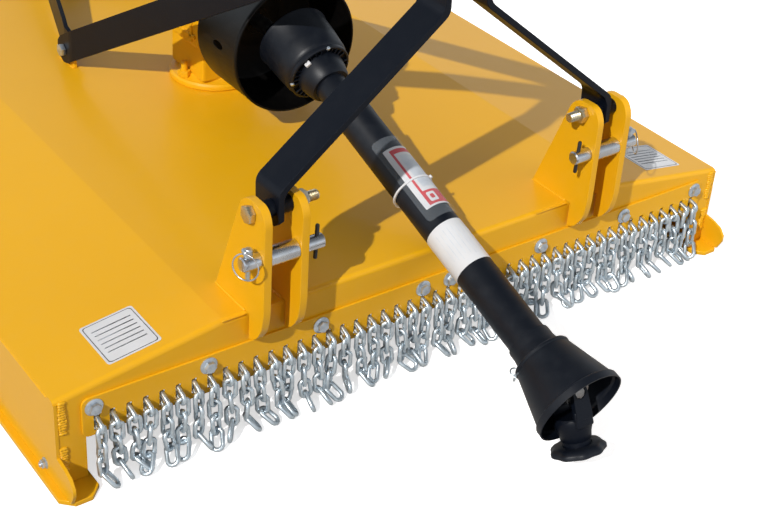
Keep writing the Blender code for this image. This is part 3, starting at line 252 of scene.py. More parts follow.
def makeCoatGroup():
    # sprayed paint or moulded plastic: a slow change of tone, dust and a fine skin
    s = skinNoise
    group, start, end = startGroup("sprayedSkin", "coat")
    place = group.nodes.new("ShaderNodeTexCoord").outputs["Object"]
    slow = noise(group, place, start.outputs["Tone Scale"], s["toneDetail"])
    fine = noise(group, place, start.outputs["Skin Scale"], s["skinDetail"])
    specks = noise(group, place, s["dustScale"], s["dustDetail"])
    painted = mixColour(group, ramp(group, slow, *s["tone"]), start.outputs["Colour"], start.outputs["Shade"])
    settled = combine(group, ramp(group, specks, *s["dust"]), start.outputs["Dust Amount"])
    group.links.new(mixColour(group, settled, painted, start.outputs["Dust"]), end.inputs["Colour"])
    rough = roughen(group, start, slow, s["middle"], settled, s["dulling"])
    group.links.new(rough, end.inputs["Roughness"])
    group.links.new(fine, end.inputs["Height"])
    return group


metalNoise = {"cloudDetail": 4, "cloud": (0.38, 0.64), "stainScale": 22, "stainDetail": 7,
              "stain": (0.5, 0.72), "middle": 0.35, "dulling": 0.5}


def makeMetalGroup():
    # plated or bare metal: a cloudy tone, small crystals and stains
    m = metalNoise
    group, start, end = startGroup("clouding", "metal")
    place = group.nodes.new("ShaderNodeTexCoord").outputs["Object"]
    cloud = noise(group, place, start.outputs["Cloud Scale"], m["cloudDetail"])
    cells = group.nodes.new("ShaderNodeTexVoronoi")
    group.links.new(place, cells.inputs["Vector"])
    group.links.new(start.outputs["Crystal Scale"], cells.inputs["Scale"])
    spots = noise(group, place, m["stainScale"], m["stainDetail"])
    metal = mixColour(group, ramp(group, cloud, *m["cloud"]), start.outputs["Colour"], start.outputs["Shade"])
    stained = combine(group, ramp(group, spots, *m["stain"]), start.outputs["Stain Amount"])
    group.links.new(mixColour(group, stained, metal, start.outputs["Stain"]), end.inputs["Colour"])
    rough = roughen(group, start, cells.outputs["Distance"], m["middle"], stained, m["dulling"])
    group.links.new(rough, end.inputs["Roughness"])
    group.links.new(cloud, end.inputs["Height"])
    return group


groups = {"coat": makeCoatGroup(), "metal": makeMetalGroup()}

coats = {
    "yellowPaint": dict(colour=(0.79, 0.405, 0.004), shade=(0.75, 0.38, 0.004), dust=(0.72, 0.48, 0.16),
                        dustAmount=0.05, toneScale=1.3, skinScale=170, gloss=0.42, spread=0.12,
                        bump=0.07, coat=0.18, coatRough=0.14, shine=0.36),
    "blackPaint": dict(colour=(0.0024, 0.0040, 0.0085), shade=(0.0034, 0.0052, 0.0100),
                       dust=(0.030, 0.030, 0.032), dustAmount=0.06, toneScale=5, skinScale=240,
                       gloss=0.40, spread=0.2, bump=0.08, shine=0.16),
    "blackPlastic": dict(colour=(0.0028, 0.0046, 0.0090), shade=(0.0042, 0.0062, 0.0112),
                         dust=(0.045, 0.052, 0.062), dustAmount=0.10, toneScale=5, skinScale=420,
                         gloss=0.44, spread=0.12, bump=0.05, shine=0.30),
    "canPlastic": dict(colour=(0.0022, 0.0020, 0.0020), shade=(0.004, 0.0036, 0.0034),
                       dust=(0.04, 0.034, 0.030), dustAmount=0.05, toneScale=8, skinScale=300,
                       gloss=0.42, spread=0.2, bump=0.06, shine=0.16),
    "tyreRubber": dict(colour=(0.016, 0.016, 0.017), shade=(0.030, 0.029, 0.027),
                       dust=(0.16, 0.13, 0.10), dustAmount=0.45, toneScale=14, skinScale=260,
                       gloss=0.72, spread=0.15, bump=0.4),
    "whiteVinyl": dict(colour=(0.67, 0.68, 0.70), shade=(0.62, 0.63, 0.65), dust=(0.6, 0.52, 0.4),
                       dustAmount=0.12, toneScale=14, skinScale=500, gloss=0.32, spread=0.1, bump=0.03,
                       coat=0.2, coatRough=0.1),
    "cardPaper": dict(colour=(0.72, 0.72, 0.73), shade=(0.64, 0.65, 0.68), dust=(0.6, 0.55, 0.5),
                      dustAmount=0.1, toneScale=20, skinScale=700, gloss=0.55, spread=0.1, bump=0.05),
    "cardGrey": dict(colour=(0.62, 0.66, 0.70), shade=(0.50, 0.54, 0.60), dust=(0.6, 0.55, 0.5),
                     dustAmount=0.1, toneScale=60, skinScale=700, gloss=0.5, spread=0.1, bump=0.05),
    "frameInk": dict(colour=(0.05, 0.05, 0.055), shade=(0.07, 0.07, 0.075), dust=(0.3, 0.25, 0.2),
                     dustAmount=0.1, toneScale=20, skinScale=700, gloss=0.4, spread=0.1, bump=0.03,
                     coat=0.1, coatRough=0.1),
    "cardRed": dict(colour=(0.62, 0.022, 0.03), shade=(0.50, 0.028, 0.035), dust=(0.6, 0.4, 0.35),
                    dustAmount=0.1, toneScale=20, skinScale=700, gloss=0.5, spread=0.1, bump=0.05),
}

metals = {
    "zincChain": dict(colour=(0.68, 0.75, 0.80), shade=(0.52, 0.59, 0.64), stain=(0.30, 0.33, 0.35),
                      stainAmount=0.25, cloudScale=90, crystalScale=420, gloss=0.34, spread=0.25,
                      bump=0.08, metallic=0.9),
    "zincBolt": dict(colour=(0.60, 0.66, 0.72), shade=(0.46, 0.51, 0.57), stain=(0.40, 0.37, 0.30),
                     stainAmount=0.25, cloudScale=120, crystalScale=500, gloss=0.36, spread=0.2,
                     bump=0.04, metallic=0.9),
    "yellowZinc": dict(colour=(0.66, 0.56, 0.36), shade=(0.50, 0.46, 0.38), stain=(0.30, 0.30, 0.36),
                       stainAmount=0.5, cloudScale=70, crystalScale=400, gloss=0.28, spread=0.2,
                       bump=0.03, metallic=0.97),
    "platedPin": dict(colour=(0.62, 0.63, 0.65), shade=(0.50, 0.51, 0.54), stain=(0.50, 0.44, 0.32),
                      stainAmount=0.25, cloudScale=30, crystalScale=500, gloss=0.22, spread=0.08,
                      bump=0.0, metallic=1),
    "bareSteel": dict(colour=(0.36, 0.35, 0.34), shade=(0.24, 0.235, 0.23), stain=(0.16, 0.075, 0.035),
                      stainAmount=0.5, cloudScale=35, crystalScale=300, gloss=0.38, spread=0.3,
                      bump=0.06, metallic=0.95),
    "groundEdge": dict(colour=(0.55, 0.55, 0.56), shade=(0.44, 0.44, 0.45), stain=(0.3, 0.2, 0.12),
                       stainAmount=0.2, cloudScale=60, crystalScale=500, gloss=0.25, spread=0.2,
                       bump=0.04, metallic=1),
    "springSteel": dict(colour=(0.055, 0.057, 0.062), shade=(0.035, 0.036, 0.04),
                        stain=(0.12, 0.08, 0.05), stainAmount=0.3, cloudScale=80, crystalScale=500,
                        gloss=0.34, spread=0.2, bump=0.05, metallic=0.8),
}


bumpDepth = 0.002


def makeFinish(name, spec, kind):
    material = bpy.data.materials.new(name)
    material.use_nodes = True
    nodes, links = material.node_tree.nodes, material.node_tree.links
    shader = nodes["Principled BSDF"]
    skin = nodes.new("ShaderNodeGroup")
    skin.node_tree = groups[kind]
    for label, key in groupInputs[kind].items():
        skin.inputs[label].default_value = (*spec[key], 1) if label in tints else spec[key]
    if kind == "coat":
        shader.inputs["Coat Weight"].default_value = spec.get("coat", 0)
        shader.inputs["Coat Roughness"].default_value = spec.get("coatRough", 0.1)
        shader.inputs["Specular IOR Level"].default_value = spec.get("shine", 0.4)
    else:
        shader.inputs["Metallic"].default_value = spec["metallic"]
    bump = nodes.new("ShaderNodeBump")
    bump.inputs["Strength"].default_value = spec["bump"]
    bump.inputs["Distance"].default_value = bumpDepth
    links.new(skin.outputs["Height"], bump.inputs["Height"])
    links.new(bump.outputs["Normal"], shader.inputs["Normal"])
    links.new(skin.outputs["Colour"], shader.inputs["Base Color"])
    links.new(skin.outputs["Roughness"], shader.inputs["Roughness"])
    return material


finish = {name: makeFinish(name, spec, "coat") for name, spec in coats.items()}
finish.update({name: makeFinish(name, spec, "metal") for name, spec in metals.items()})


filmLook = {"Base Color": (0.50, 0.56, 0.62, 1), "Roughness": 0.10, "Alpha": 0.07, "Specular IOR Level": 0.8}


def makeClearFilm():
    material = bpy.data.materials.new("clearFilm")
    material.use_nodes = True
    shader = material.node_tree.nodes["Principled BSDF"]
    for label, value in filmLook.items():
        shader.inputs[label].default_value = value
    return material


finish["clearFilm"] = makeClearFilm()
print("finishes made")


# shaping helpers

def meshOf(bm, name):
    mesh = bpy.data.meshes.new(name)
    bm.to_mesh(mesh)
    bm.free()
    return mesh


def makePiece(name, bm, material, body, replaced=(), sharp=35, weighted=False):
    mesh = meshOf(bm, name)
    mesh.materials.append(finish[material])
    mesh.shade_smooth()
    mesh.set_sharp_from_angle(angle=math.radians(sharp))
    piece = bpy.data.objects.new(name, mesh)
    scene.collection.objects.link(piece)
    if weighted:
        modifier = piece.modifiers.new("even shading", "WEIGHTED_NORMAL")
        modifier.keep_sharp = True
        modifier.weight = 80
    if replaced:
        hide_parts(*replaced)
    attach(piece, body)
    return piece


def addShape(bm, other):
    # puts one bmesh into another
    mesh = meshOf(other, "part")
    bm.from_mesh(mesh)
    bpy.data.meshes.remove(mesh)


def ease(bm, edges, width, segments=2, profile=0.5, clamp=False):
    # rounds edges off by a width in millimetres
    bmesh.ops.bevel(bm, geom=edges, offset=width * 0.001, segments=segments, profile=profile, affect="EDGES",
                    clamp_overlap=clamp, material=-1)


def aim(direction):
    return Vector(direction).normalized().to_track_quat("Z", "Y").to_matrix().to_4x4()


def around(radius, degrees):
    # a place on a circle
    return radius * math.cos(math.radians(degrees)), radius * math.sin(math.radians(degrees))


def mirrored(half):
    # a profile's second half, from its first
    return half + [(radius, -distance) for radius, distance in reversed(half)]


def spun(profile, centre, axis, steps=48):
    # turns (radius, distance) points in millimetres about an axis through the centre
    bm = bmesh.new()
    verts = [bm.verts.new((radius * 0.001, 0, distance * 0.001)) for radius, distance in profile]
    pairs = zip(verts, verts[1:] + verts[:1])
    edges = [bm.edges.new(pair) for pair in pairs if max(pair[0].co.x, pair[1].co.x) > 1e-9]
    bmesh.ops.spin(bm, geom=verts + edges, cent=(0, 0, 0), axis=(0, 0, 1), angle=2 * math.pi, steps=steps,
                   use_merge=True, use_duplicate=False)
    bmesh.ops.remove_doubles(bm, verts=bm.verts, dist=1e-6)
    bmesh.ops.recalc_face_normals(bm, faces=bm.faces)
    bmesh.ops.transform(bm, matrix=Matrix.Translation(centre) @ aim(axis), verts=bm.verts)
    return bm


def block(low, high, width=1.0):
    # a box in millimetres with eased edges
    bm = bmesh.new()
    bmesh.ops.create_cube(bm, size=1)
    size = [abs(high[i] - low[i]) for i in range(3)]
    middle = [(high[i] + low[i]) / 2 for i in range(3)]
    bmesh.ops.scale(bm, vec=Vector(size) * 0.001, verts=bm.verts)
    bmesh.ops.translate(bm, vec=at(*middle), verts=bm.verts)
    ease(bm, bm.edges[:], width)
    return bm


def hexPrism(radius, low, high, centre, axis, turn=0, chamfer=0.16):
    # a bolt head or nut between two distances along its axis
    bm = bmesh.new()
    bmesh.ops.create_cone(bm, cap_ends=True, segments=6, radius1=radius * 0.001, radius2=radius * 0.001,
                          depth=(high - low) * 0.001)
    rims = [e for e in bm.edges if abs(e.verts[0].co.z - e.verts[1].co.z) < 1e-7]
    ease(bm, rims, radius * chamfer, 2, 0.6)
    move = (Matrix.Translation(centre) @ aim(axis) @ Matrix.Rotation(math.radians(turn), 4, "Z")
            @ Matrix.Translation((0, 0, (low + high) * 0.0005)))
    bmesh.ops.transform(bm, matrix=move, verts=bm.verts)
    return bm


easing = {"flat": 0.6, "bend": (4, 62), "bendLength": 0.03, "corner": 50, "sharp": 38}


def softened(node, material, width, bend):
    # a merged copy of a CAD node with eased edges and, where bend isn't 0, rounded bends
    bm = bmesh.new()
    bm.from_mesh(frame["nodes"][node].data)
    bmesh.ops.remove_doubles(bm, verts=bm.verts, dist=1e-6)
    bmesh.ops.dissolve_limit(bm, angle_limit=math.radians(easing["flat"]), verts=bm.verts, edges=bm.edges,
                             use_dissolve_boundaries=False)
    low, high = [math.radians(angle) for angle in easing["bend"]]
    bends = [e for e in bm.edges if e.is_manifold and low < e.calc_face_angle(0) < high
             and e.calc_length() > easing["bendLength"]]
    if bend and bends:
        ease(bm, bends, bend, 3, clamp=True)
    corner = math.radians(easing["corner"])
    ease(bm, [e for e in bm.edges if e.is_manifold and e.calc_face_angle(0) > corner], width, clamp=True)
    name = node.replace("_", ".") + ".shown"
    return makePiece(name, bm, material, bodyOf[node], (node,), easing["sharp"], True)


def weldBead(points, radius=3.2, pitch=2.6, seed=1):
    # a rippled bead along a line of places
    picker = random.Random(seed)
    bm = bmesh.new()
    path = [Vector(p) for p in points]
    spots = []
    for one, other in zip(path, path[1:]):
        count = max(2, int((other - one).length / (pitch * 0.001)))
        spots += [(one.lerp(other, i / count), (other - one).normalized()) for i in range(count)]
    spots.append((path[-1], (path[-1] - path[-2]).normalized()))
    ring = None
    for number, (spot, along) in enumerate(spots):
        swell = radius * 0.001 * (1 + 0.16 * (number % 2) + picker.uniform(-0.12, 0.12))
        if number in (0, len(spots) - 1):
            swell *= 0.35
        made = bmesh.ops.create_circle(bm, segments=7, radius=swell)["verts"]
        bmesh.ops.transform(bm, matrix=Matrix.Translation(spot) @ aim(along), verts=made)
        edges = list({e for v in made for e in v.link_edges})
        if ring:
            bmesh.ops.bridge_loops(bm, edges=ring + edges)
        ring = edges
    bmesh.ops.holes_fill(bm, edges=[e for e in bm.edges if e.is_boundary])
    bmesh.ops.recalc_face_normals(bm, faces=bm.faces)
    return bm


def weldPiece(name, runs, material, body, radius=3.2):
    bm = bmesh.new()
    for number, points in enumerate(runs):
        addShape(bm, weldBead(points, radius, seed=number + 3))
    return makePiece(name, bm, material, body, sharp=60)


# deck, bands and shoes

def plate(name, outline, x, thick, material, body, replaced, width, holes):
    # an outline of (y, z) points in millimetres, drawn out along X, with its holes as (y, z, radius)
    bm = bmesh.new()
    face = bm.faces.new([bm.verts.new(at(x - thick / 2, y, z)) for y, z in outline])
    raised = bmesh.ops.extrude_face_region(bm, geom=[face])
    moved = [v for v in raised["geom"] if isinstance(v, bmesh.types.BMVert)]
    bmesh.ops.translate(bm, vec=(thick * 0.001, 0, 0), verts=moved)
    bmesh.ops.recalc_face_normals(bm, faces=bm.faces)
    rims = [e for e in bm.edges if abs(e.verts[0].co.x - e.verts[1].co.x) < 1e-6]
    ease(bm, rims, width, clamp=True)
    piece = makePiece(name, bm, material, body, replaced, 40, True)
    cutAway(piece, [spun(mirrored([(0, -thick), (radius, -thick)]), at(x, y, z), (1, 0, 0), 32)
                    for y, z, radius in holes])


def cutAway(piece, shapes):
    # takes closed shapes out of a piece
    bm = bmesh.new()
    for shape in shapes:
        addShape(bm, shape)
    tool = bpy.data.objects.new("cutter", meshOf(bm, "cutter"))
    scene.collection.objects.link(tool)
    kept = [(m.name, m.type) for m in piece.modifiers]
    piece.modifiers.clear()
    modifier = piece.modifiers.new("holes", "BOOLEAN")
    modifier.operation, modifier.object, modifier.solver = "DIFFERENCE", tool, "EXACT"
    bpy.context.view_layer.update()
    piece.data = bpy.data.meshes.new_from_object(piece.evaluated_get(bpy.context.evaluated_depsgraph_get()))
    piece.modifiers.clear()
    bpy.data.objects.remove(tool)
    for name, kind in kept:
        modifier = piece.modifiers.new(name, kind)
        modifier.keep_sharp = True


def roundCorners(points, radius, steps=6):
    # eases an outline's corners with short curves
    eased = []
    count = len(points)
    for number, (y, z) in enumerate(points):
        here = Vector((y, z))
        reach = radius[number] if isinstance(radius, (list, tuple)) else radius
        before, after = Vector(points[number - 1]) - here, Vector(points[(number + 1) % count]) - here
        reach = min(reach, before.length * 0.48, after.length * 0.48)
        if reach < 0.5:
            eased.append((y, z))
            continue
        one, other = here + before.normalized() * reach, here + after.normalized() * reach
        for i in range(steps + 1):
            t = i / steps
            spot = one * (1 - t) ** 2 + here * 2 * t * (1 - t) + other * t ** 2
            eased.append((spot.x, spot.y))
    return eased


bandSizes = {"half": 803, "bottom": 10.3, "noseY": 6, "noseZ": 12, "kneeY": -1, "kneeZ": (90, 100),
             "kneeDrop": 0.022, "noseHeight": 0.745, "noseLength": 0.92, "boltY": 53, "boltZ": 30}


def makeBands():
    s = bandSizes
    for side, word in ((-1, "left"), (1, "right")):
        mesh = softened("side_band_" + word, "yellowPaint", 1.2, 3).data
        bm = bmesh.new()
        bm.from_mesh(mesh)
        # the nose is cut lower than the plain solid's
        for v in bm.verts:
            y, z = (v.co.y - front) * 1000, v.co.z * 1000
            if y >= s["noseY"] or z <= s["noseZ"]:
                continue
            if y <= s["kneeY"]:
                v.co.y = front + y * s["noseLength"] * 0.001
                v.co.z = 0.001 * (s["bottom"] + (z - s["bottom"]) * s["noseHeight"])
            elif s["kneeZ"][0] < z < s["kneeZ"][1]:
                v.co.z -= s["kneeDrop"]
        bm.to_mesh(mesh)
        bm.free()
        spot, out = at(side * s["half"], s["boltY"], s["boltZ"]), (side, 0, 0)
        bolt = spun([(0, 0), (11, 0), (11, 1.6), (9, 2.4), (0, 2.4)], spot, out, 28)
        addShape(bolt, hexPrism(9, 2, 8.5, spot, out, 20))
        addShape(bolt, spun([(0, 8), (4.6, 8), (4.6, 11), (3.9, 12), (0, 12)], spot, out, 20))
        makePiece("band.bolt." + word, bolt, "zincBolt", "deck", sharp=32)


lugSizes = {"outer": 423, "inner": 347, "thick": 16, "ease": 1.4, "bolt": (-2, 455, 10.6),
            "pin": (-28, 375, 14.5)}


def makeLugs():
    outline = [(117, 244.3), (36, 462), (17, 479), (-30, 479), (-46, 455), (-48, 262), (-41, 225), (-22, 199),
               (-3, 190.5), (-0.3, 190.5), (-0.3, 244.3)]
    eased = roundCorners(outline, [0, 16, 14, 20, 16, 26, 26, 14, 8, 0, 0])
    s = lugSizes
    for side, word in ((-1, "left"), (1, "right")):
        for place in ("outer", "inner"):
            plate(f"hitch.lug.{word}.{place}", eased, side * s[place], s["thick"], "yellowPaint", "deck",
                  (f"hitch_lug_{word}_{place}",), s["ease"], [s["bolt"], s["pin"]])


welds = {"lugX": (338, 356, 414, 432), "lugY": (118, 12), "lugZ": 244.6, "footX": (266, 277),
         "footY": (1037, 1108), "footZ": 245, "bandX": 803, "bandY": (30, 1285), "bandZ": 190,
         "tailX": (-45, 45), "tailY": 1650, "tailZ": 245, "foldY": 4,
         "fold": ((484, 243, 436), (410, 243.4, 360), (334, 243.4, 250)), "foldZ": 243.4}
stitches = {"spans": ((122, 186), (36, 88)), "pitch": 5.2, "inner": 781, "middle": 789, "outer": 797}


def makeDeck():
    softened("deck_pan", "yellowPaint", 1.2, 3)
    makeBands()
    makeLugs()
    for side in ("left", "right"):
        softened("skid_shoe_" + side, "yellowPaint", 1.6, 0)
        softened("brace_foot_plate_" + side, "yellowPaint", 1.2, 0)
    softened("tail_height_bracket", "yellowPaint", 1.2, 0)
    w = welds
    runs, folds = [], []
    for side in (-1, 1):
        lines = [(x, w["lugY"], w["lugZ"]) for x in w["lugX"]]
        lines += [(x, w["footY"], w["footZ"]) for x in w["footX"]]
        lines.append((w["bandX"], w["bandY"], w["bandZ"]))
        runs += [[at(side * x, y, z) for y in span] for x, span, z in lines]
        # the fold along the front is dressed with a fine uneven bead
        folds += [[at(side * start, w["foldY"], z), at(side * stop, w["foldY"], w["foldZ"])]
                  for start, z, stop in w["fold"]]
    runs.append([at(x, w["tailY"], w["tailZ"]) for x in w["tailX"]])
    weldPiece("weld.beads", runs, "yellowPaint", "deck", 2.2)
    weldPiece("fold.bead", folds, "yellowPaint", "deck", 1.5)
    # two heavy patches of short weld runs hold the apron to each band
    picker = random.Random(7)
    patches = []
    for side in (-1, 1):
        for low, high in stitches["spans"]:
            count = int((high - low) / stitches["pitch"])
            for number in range(count + 1):
                z = low + (high - low) * number / count
                inner = stitches["inner"] + picker.uniform(-2, 2)
                outer = stitches["outer"] + picker.uniform(-1, 1)
                patches.append([at(side * inner, 6.0, z), at(side * stitches["middle"], 5.1, z + 2),
                                at(side * outer, 5.8, z + 1)])
    weldPiece("corner.stitches", patches, "yellowPaint", "deck", 3.6)


guardSizes = {"half": 755, "top": 182, "bottom": 100, "sheet": 5, "corner": 14, "slotWide": 11.5,
              "slotLow": 108.5, "slotHigh": 143, "slotCorner": 2.5, "ease": 0.0009, "boltZ": 161,
              "boltX": (34, 273, 512, 733), "pitch": 31.75, "rows": 45, "endRow": 29.5}


def chainPlaces():
    middle = (guardSizes["rows"] - 1) / 2
    places = [(row - middle) * guardSizes["pitch"] for row in range(guardSizes["rows"])]
    return [places[0] - guardSizes["endRow"]] + places + [places[-1] + guardSizes["endRow"]]


def makeGuard():
    g = guardSizes
    bm = block((-g["half"], 0, g["bottom"]), (g["half"], g["sheet"], g["top"]), 0.01)
    bmesh.ops.remove_doubles(bm, verts=bm.verts, dist=2e-5)
    ease(bm, [e for e in bm.edges if abs(e.verts[0].co.y - e.verts[1].co.y) > 0.004], g["corner"], 6)
    guard = makePiece("chain.guard.shown", bm, "yellowPaint", "deck", ("chain_guard_plate",), 38)
    half = g["slotWide"] / 2
    cutAway(guard, [block((x - half, -10, g["slotLow"]), (x + half, 15, g["slotHigh"]), g["slotCorner"])
                    for x in chainPlaces()])
    edge = guard.modifiers.new("eased edges", "BEVEL")
    edge.width, edge.segments, edge.limit_method, edge.angle_limit = g["ease"], 2, "ANGLE", math.radians(50)
    edge.harden_normals = True
    bolts = bmesh.new()
    for number, x in enumerate(g["boltX"]):
        for side in (-1, 1):
            spot = at(side * x, 0, g["boltZ"])
            addShape(bolts, spun([(0, 0), (17, 0), (17, 1.6), (13.6, 3.6), (0, 4.6)], spot, (0, -1, 0), 40))
            addShape(bolts, hexPrism(11.6, 3, 11.4, spot, (0, -1, 0), 17 * number + 9 * side, 0.11))
    makePiece("guard.bolts", bolts, "zincBolt", "deck", sharp=32)


# chains

linkSizes = {"wire": 4.35, "bow": 10.5, "straight": 9.55, "inside": 15.2, "rodY": 9.3, "rodZ": 127.07,
             "rodEnd": 15, "rod": 4, "hanging": 3}
# how far each link may stray, in the order in which a chain is hung
chainSway = {"droop": (12, 24), "aside": (-0.04, 0.04), "roll": (-0.1, 0.1), "leanX": (-0.08, 0.08),
             "leanY": (-0.07, 0.03), "turn": (-30, 30), "twist": (-14, 14), "drift": (-20, 20),
             "strayX": (-0.16, 0.16), "strayY": (-0.12, 0.08), "aheadX": (-0.9, 0.9), "flatX": (-0.7, 0.7),
             "flatY": (-0.2, 0.6), "onEdge": 0.4, "edgeZ": (0.1, 0.7), "dip": (0.7, 0.97)}


def linkShape():
    # a bow spun in thirty degree steps, its halves moved apart so that the long sides are straight
    bm = bmesh.new()
    ring = bmesh.ops.create_circle(bm, segments=8, radius=linkSizes["wire"] * 0.001)["verts"]
    bmesh.ops.rotate(bm, cent=(0, 0, 0), matrix=Matrix.Rotation(math.pi / 2, 3, "X"), verts=ring)
    bmesh.ops.translate(bm, vec=(linkSizes["bow"] * 0.001, 0, 0), verts=ring)
    bmesh.ops.rotate(bm, cent=(0, 0, 0), matrix=Matrix.Rotation(math.radians(15), 3, "Z"), verts=ring)
    bmesh.ops.spin(bm, geom=bm.verts[:] + bm.edges[:], cent=(0, 0, 0), axis=(0, 0, 1), angle=2 * math.pi,
                   steps=12, use_merge=True, use_duplicate=False)
    bmesh.ops.remove_doubles(bm, verts=bm.verts, dist=1e-6)
    for way in (-1, 1):
        half = [v for v in bm.verts if v.co.y * way > 0]
        bmesh.ops.translate(bm, vec=(0, way * linkSizes["straight"] * 0.001, 0), verts=half)
    bmesh.ops.recalc_face_normals(bm, faces=bm.faces)
    return meshOf(bm, "link")


def linkMove(centre, along, normal):
    along = along.normalized()
    across = along.cross(normal).normalized()
    move = Matrix((across, along, across.cross(along))).transposed().to_4x4()
    move.translation = centre
    return move


def placeLink(bm, link, move):
    before = len(bm.verts)
    bm.from_mesh(link)
    bm.verts.ensure_lookup_table()
    bmesh.ops.transform(bm, matrix=move, verts=bm.verts[before:])


def makeChains():
    picker = random.Random(31)
    link = linkShape()
    bm = bmesh.new()
    # half of a link's pitch, and the way from the rod to the middle of the link that rides on it
    half = linkSizes["inside"] * 0.001
    inner = half - linkSizes["wire"] * 0.001

    def stray(key):
        return picker.uniform(*chainSway[key])

    for x in chainPlaces():
        droop = math.radians(stray("droop"))
        outward = Vector((stray("aside"), -math.cos(droop), -math.sin(droop)))
        hold = at(x, linkSizes["rodY"], linkSizes["rodZ"])
        placeLink(bm, link, linkMove(hold + outward * inner, outward, Vector((1, 0, stray("roll")))))
        joint = hold + outward * (inner + half - 0.0012) - Vector((0, 0, 0.0018))
        lean = Vector((stray("leanX"), stray("leanY"), -1)).normalized()
        turn = stray("turn")
        along = lean
        for step in range(linkSizes["hanging"]):
            swing = math.radians(turn + 90 * (step % 2) + stray("twist"))
            across = Vector((math.sin(swing), math.cos(swing), 0))
            placeLink(bm, link, linkMove(joint + along * half, along, across))
            joint = joint + along * 2 * half
            turn += stray("drift")
            along = (lean + Vector((stray("strayX"), stray("strayY"), 0))).normalized()
        # the last link leans over as steeply as the ground lets it
        ahead = Vector((stray("aheadX"), -1, 0)).normalized()
        normal = Vector((stray("flatX"), stray("flatY"), 1))
        if picker.random() < chainSway["onEdge"]:
            normal = Vector((1, -ahead.x, stray("edgeZ")))
        dip = stray("dip")
        while True:
            along = ahead * math.sqrt(1 - dip * dip) - Vector((0, 0, dip))
            move = linkMove(joint + along * half, along, normal)
            if dip < 0.05 or min((move @ v.co).z for v in link.vertices) > 0.001:
                break
            dip -= 0.03
        placeLink(bm, link, move)
    end, rod = chainPlaces()[-1] + linkSizes["rodEnd"], linkSizes["rod"]
    addShape(bm, spun(mirrored([(0, -end), (rod, -end)]), at(0, linkSizes["rodY"], linkSizes["rodZ"]),
                      (1, 0, 0), 16))
    low = min(v.co.z for v in bm.verts)
    print("chains", len(bm.faces), "faces, lowest", round(low * 1000, 1), "mm")
    makePiece("chains.shown", bm, "zincChain", "chain_row", ("front_chains",), 70)
    bpy.data.meshes.remove(link)


# hitch pins, linch pins and bolts

def linchShape(spot, side):
    # a wire-ringed pin: stem, shoulder and the head that holds the ring
    bm = spun([(0, -34), (3, -34), (4.7, -31), (4.7, 13), (7.8, 14.5), (8.2, 17), (8.2, 27), (6, 30),
               (0, 31)], spot, (0, 0, 1), 24)
    ear = spot + Vector((side * 0.006, 0, 0.024))
    addShape(bm, spun(mirrored([(0, -8), (4.4, -8), (5.2, -7)]), ear, (0.25, 1, 0), 20))
    return bm


def ringShape(centre, normal, radius, wire, steps=40):
    section = [around(wire, 45 * number) for number in range(8)]
    return spun([(radius + out, along) for out, along in section], centre, normal, steps)


hitchSizes = {"x": 385, "y": -28, "z": 375, "far": 81, "near": 85, "roll": 72.5, "linch": 67, "ring": 25,
              "ringWire": 1.5, "ringX": 11, "ringY": -38, "ringZ": 376, "topY": 33, "topZ": 850,
              "topClip": 88}


def makeHitch():
    h = hitchSizes
    y, z = h["y"], h["z"]
    for side, word in ((-1, "left"), (1, "right")):
        middle = side * h["x"]
        low, high = sorted((middle + side * h["far"], middle - side * h["near"]))
        span = high - low
        pin = spun([(0, 0), (11.5, 0), (14, 2.2), (14, span - 2.2), (11.5, span), (0, span)], at(low, y, z),
                   (1, 0, 0), 40)
        makePiece("hitch.pin.shown." + word, pin, "platedPin", "hitch_pin_" + word,
                  ("hitch_pin_" + word,), 30)
        place = at(middle - side * h["roll"], y, z)
        roll = spun(mirrored([(0, -35), (3.3, -35), (4, -33)]), place, (0.03, 0, 1), 16)
        makePiece("roll.pin." + word, roll, "springSteel", "hitch_pin_" + word, sharp=30)
        sleeve = spun(mirrored([(14.6, -29.4), (17, -29.4), (18, -28.2)]), at(middle, y, z), (1, 0, 0), 40)
        makePiece("hitch.sleeve.shown." + word, sleeve, "platedPin", "hitch_sleeve_" + word,
                  ("hitch_sleeve_" + word,), 30)
        x = middle + side * h["linch"]
        makePiece("linch.pin.shown." + word, linchShape(at(x, y, z), side), "zincBolt", "linch_pin_" + word,
                  ("linch_pin_" + word,), 35)
        ring = ringShape(at(x + side * h["ringX"], h["ringY"], h["ringZ"]), (side * 0.85, -0.5, 0.1),
                         h["ring"], h["ringWire"])
        makePiece("linch.ring.shown." + word, ring, "platedPin", "linch_ring_" + word,
                  ("linch_ring_" + word,), 80)
    pin = spun([(0, -76), (17, -76), (19, -74), (19, -68), (17.5, -66), (12.5, -66), (12.5, 101), (10.5, 104),
                (0, 104)], at(0, h["topY"], h["topZ"]), (1, 0, 0), 40)
    makePiece("top.pin.shown", pin, "platedPin", "top_pin", ("top_link_pin",), 30)
    clip = linchShape(at(h["topClip"], h["topY"], h["topZ"]), 1)
    makePiece("top.clip.shown", clip, "zincBolt", "top_clip", ("top_pin_clip",), 35)


mastBolt = {"radius": 10, "half": 46.3, "head": 13, "nut": 17, "across": 1.76, "tail": 24,
            "x": 385, "y": -2, "z": 455, "spacer": (6.4, 29.6)}
footBolt = {"radius": 10, "half": 14.6, "head": 11, "nut": 14, "across": 1.5, "tail": 6,
            "x": 271.7, "y": 1066, "z": 282}
spacerBolt = {"radius": 10, "half": 62.6, "head": 13, "nut": 16, "across": 1.65, "tail": 9,
              "y": 33, "z": 905, "spacer": 39.7}
thread = {"pitch": 1.5, "root": 0.9, "crest": 0.1, "lead": 0.4, "point": 1.2}


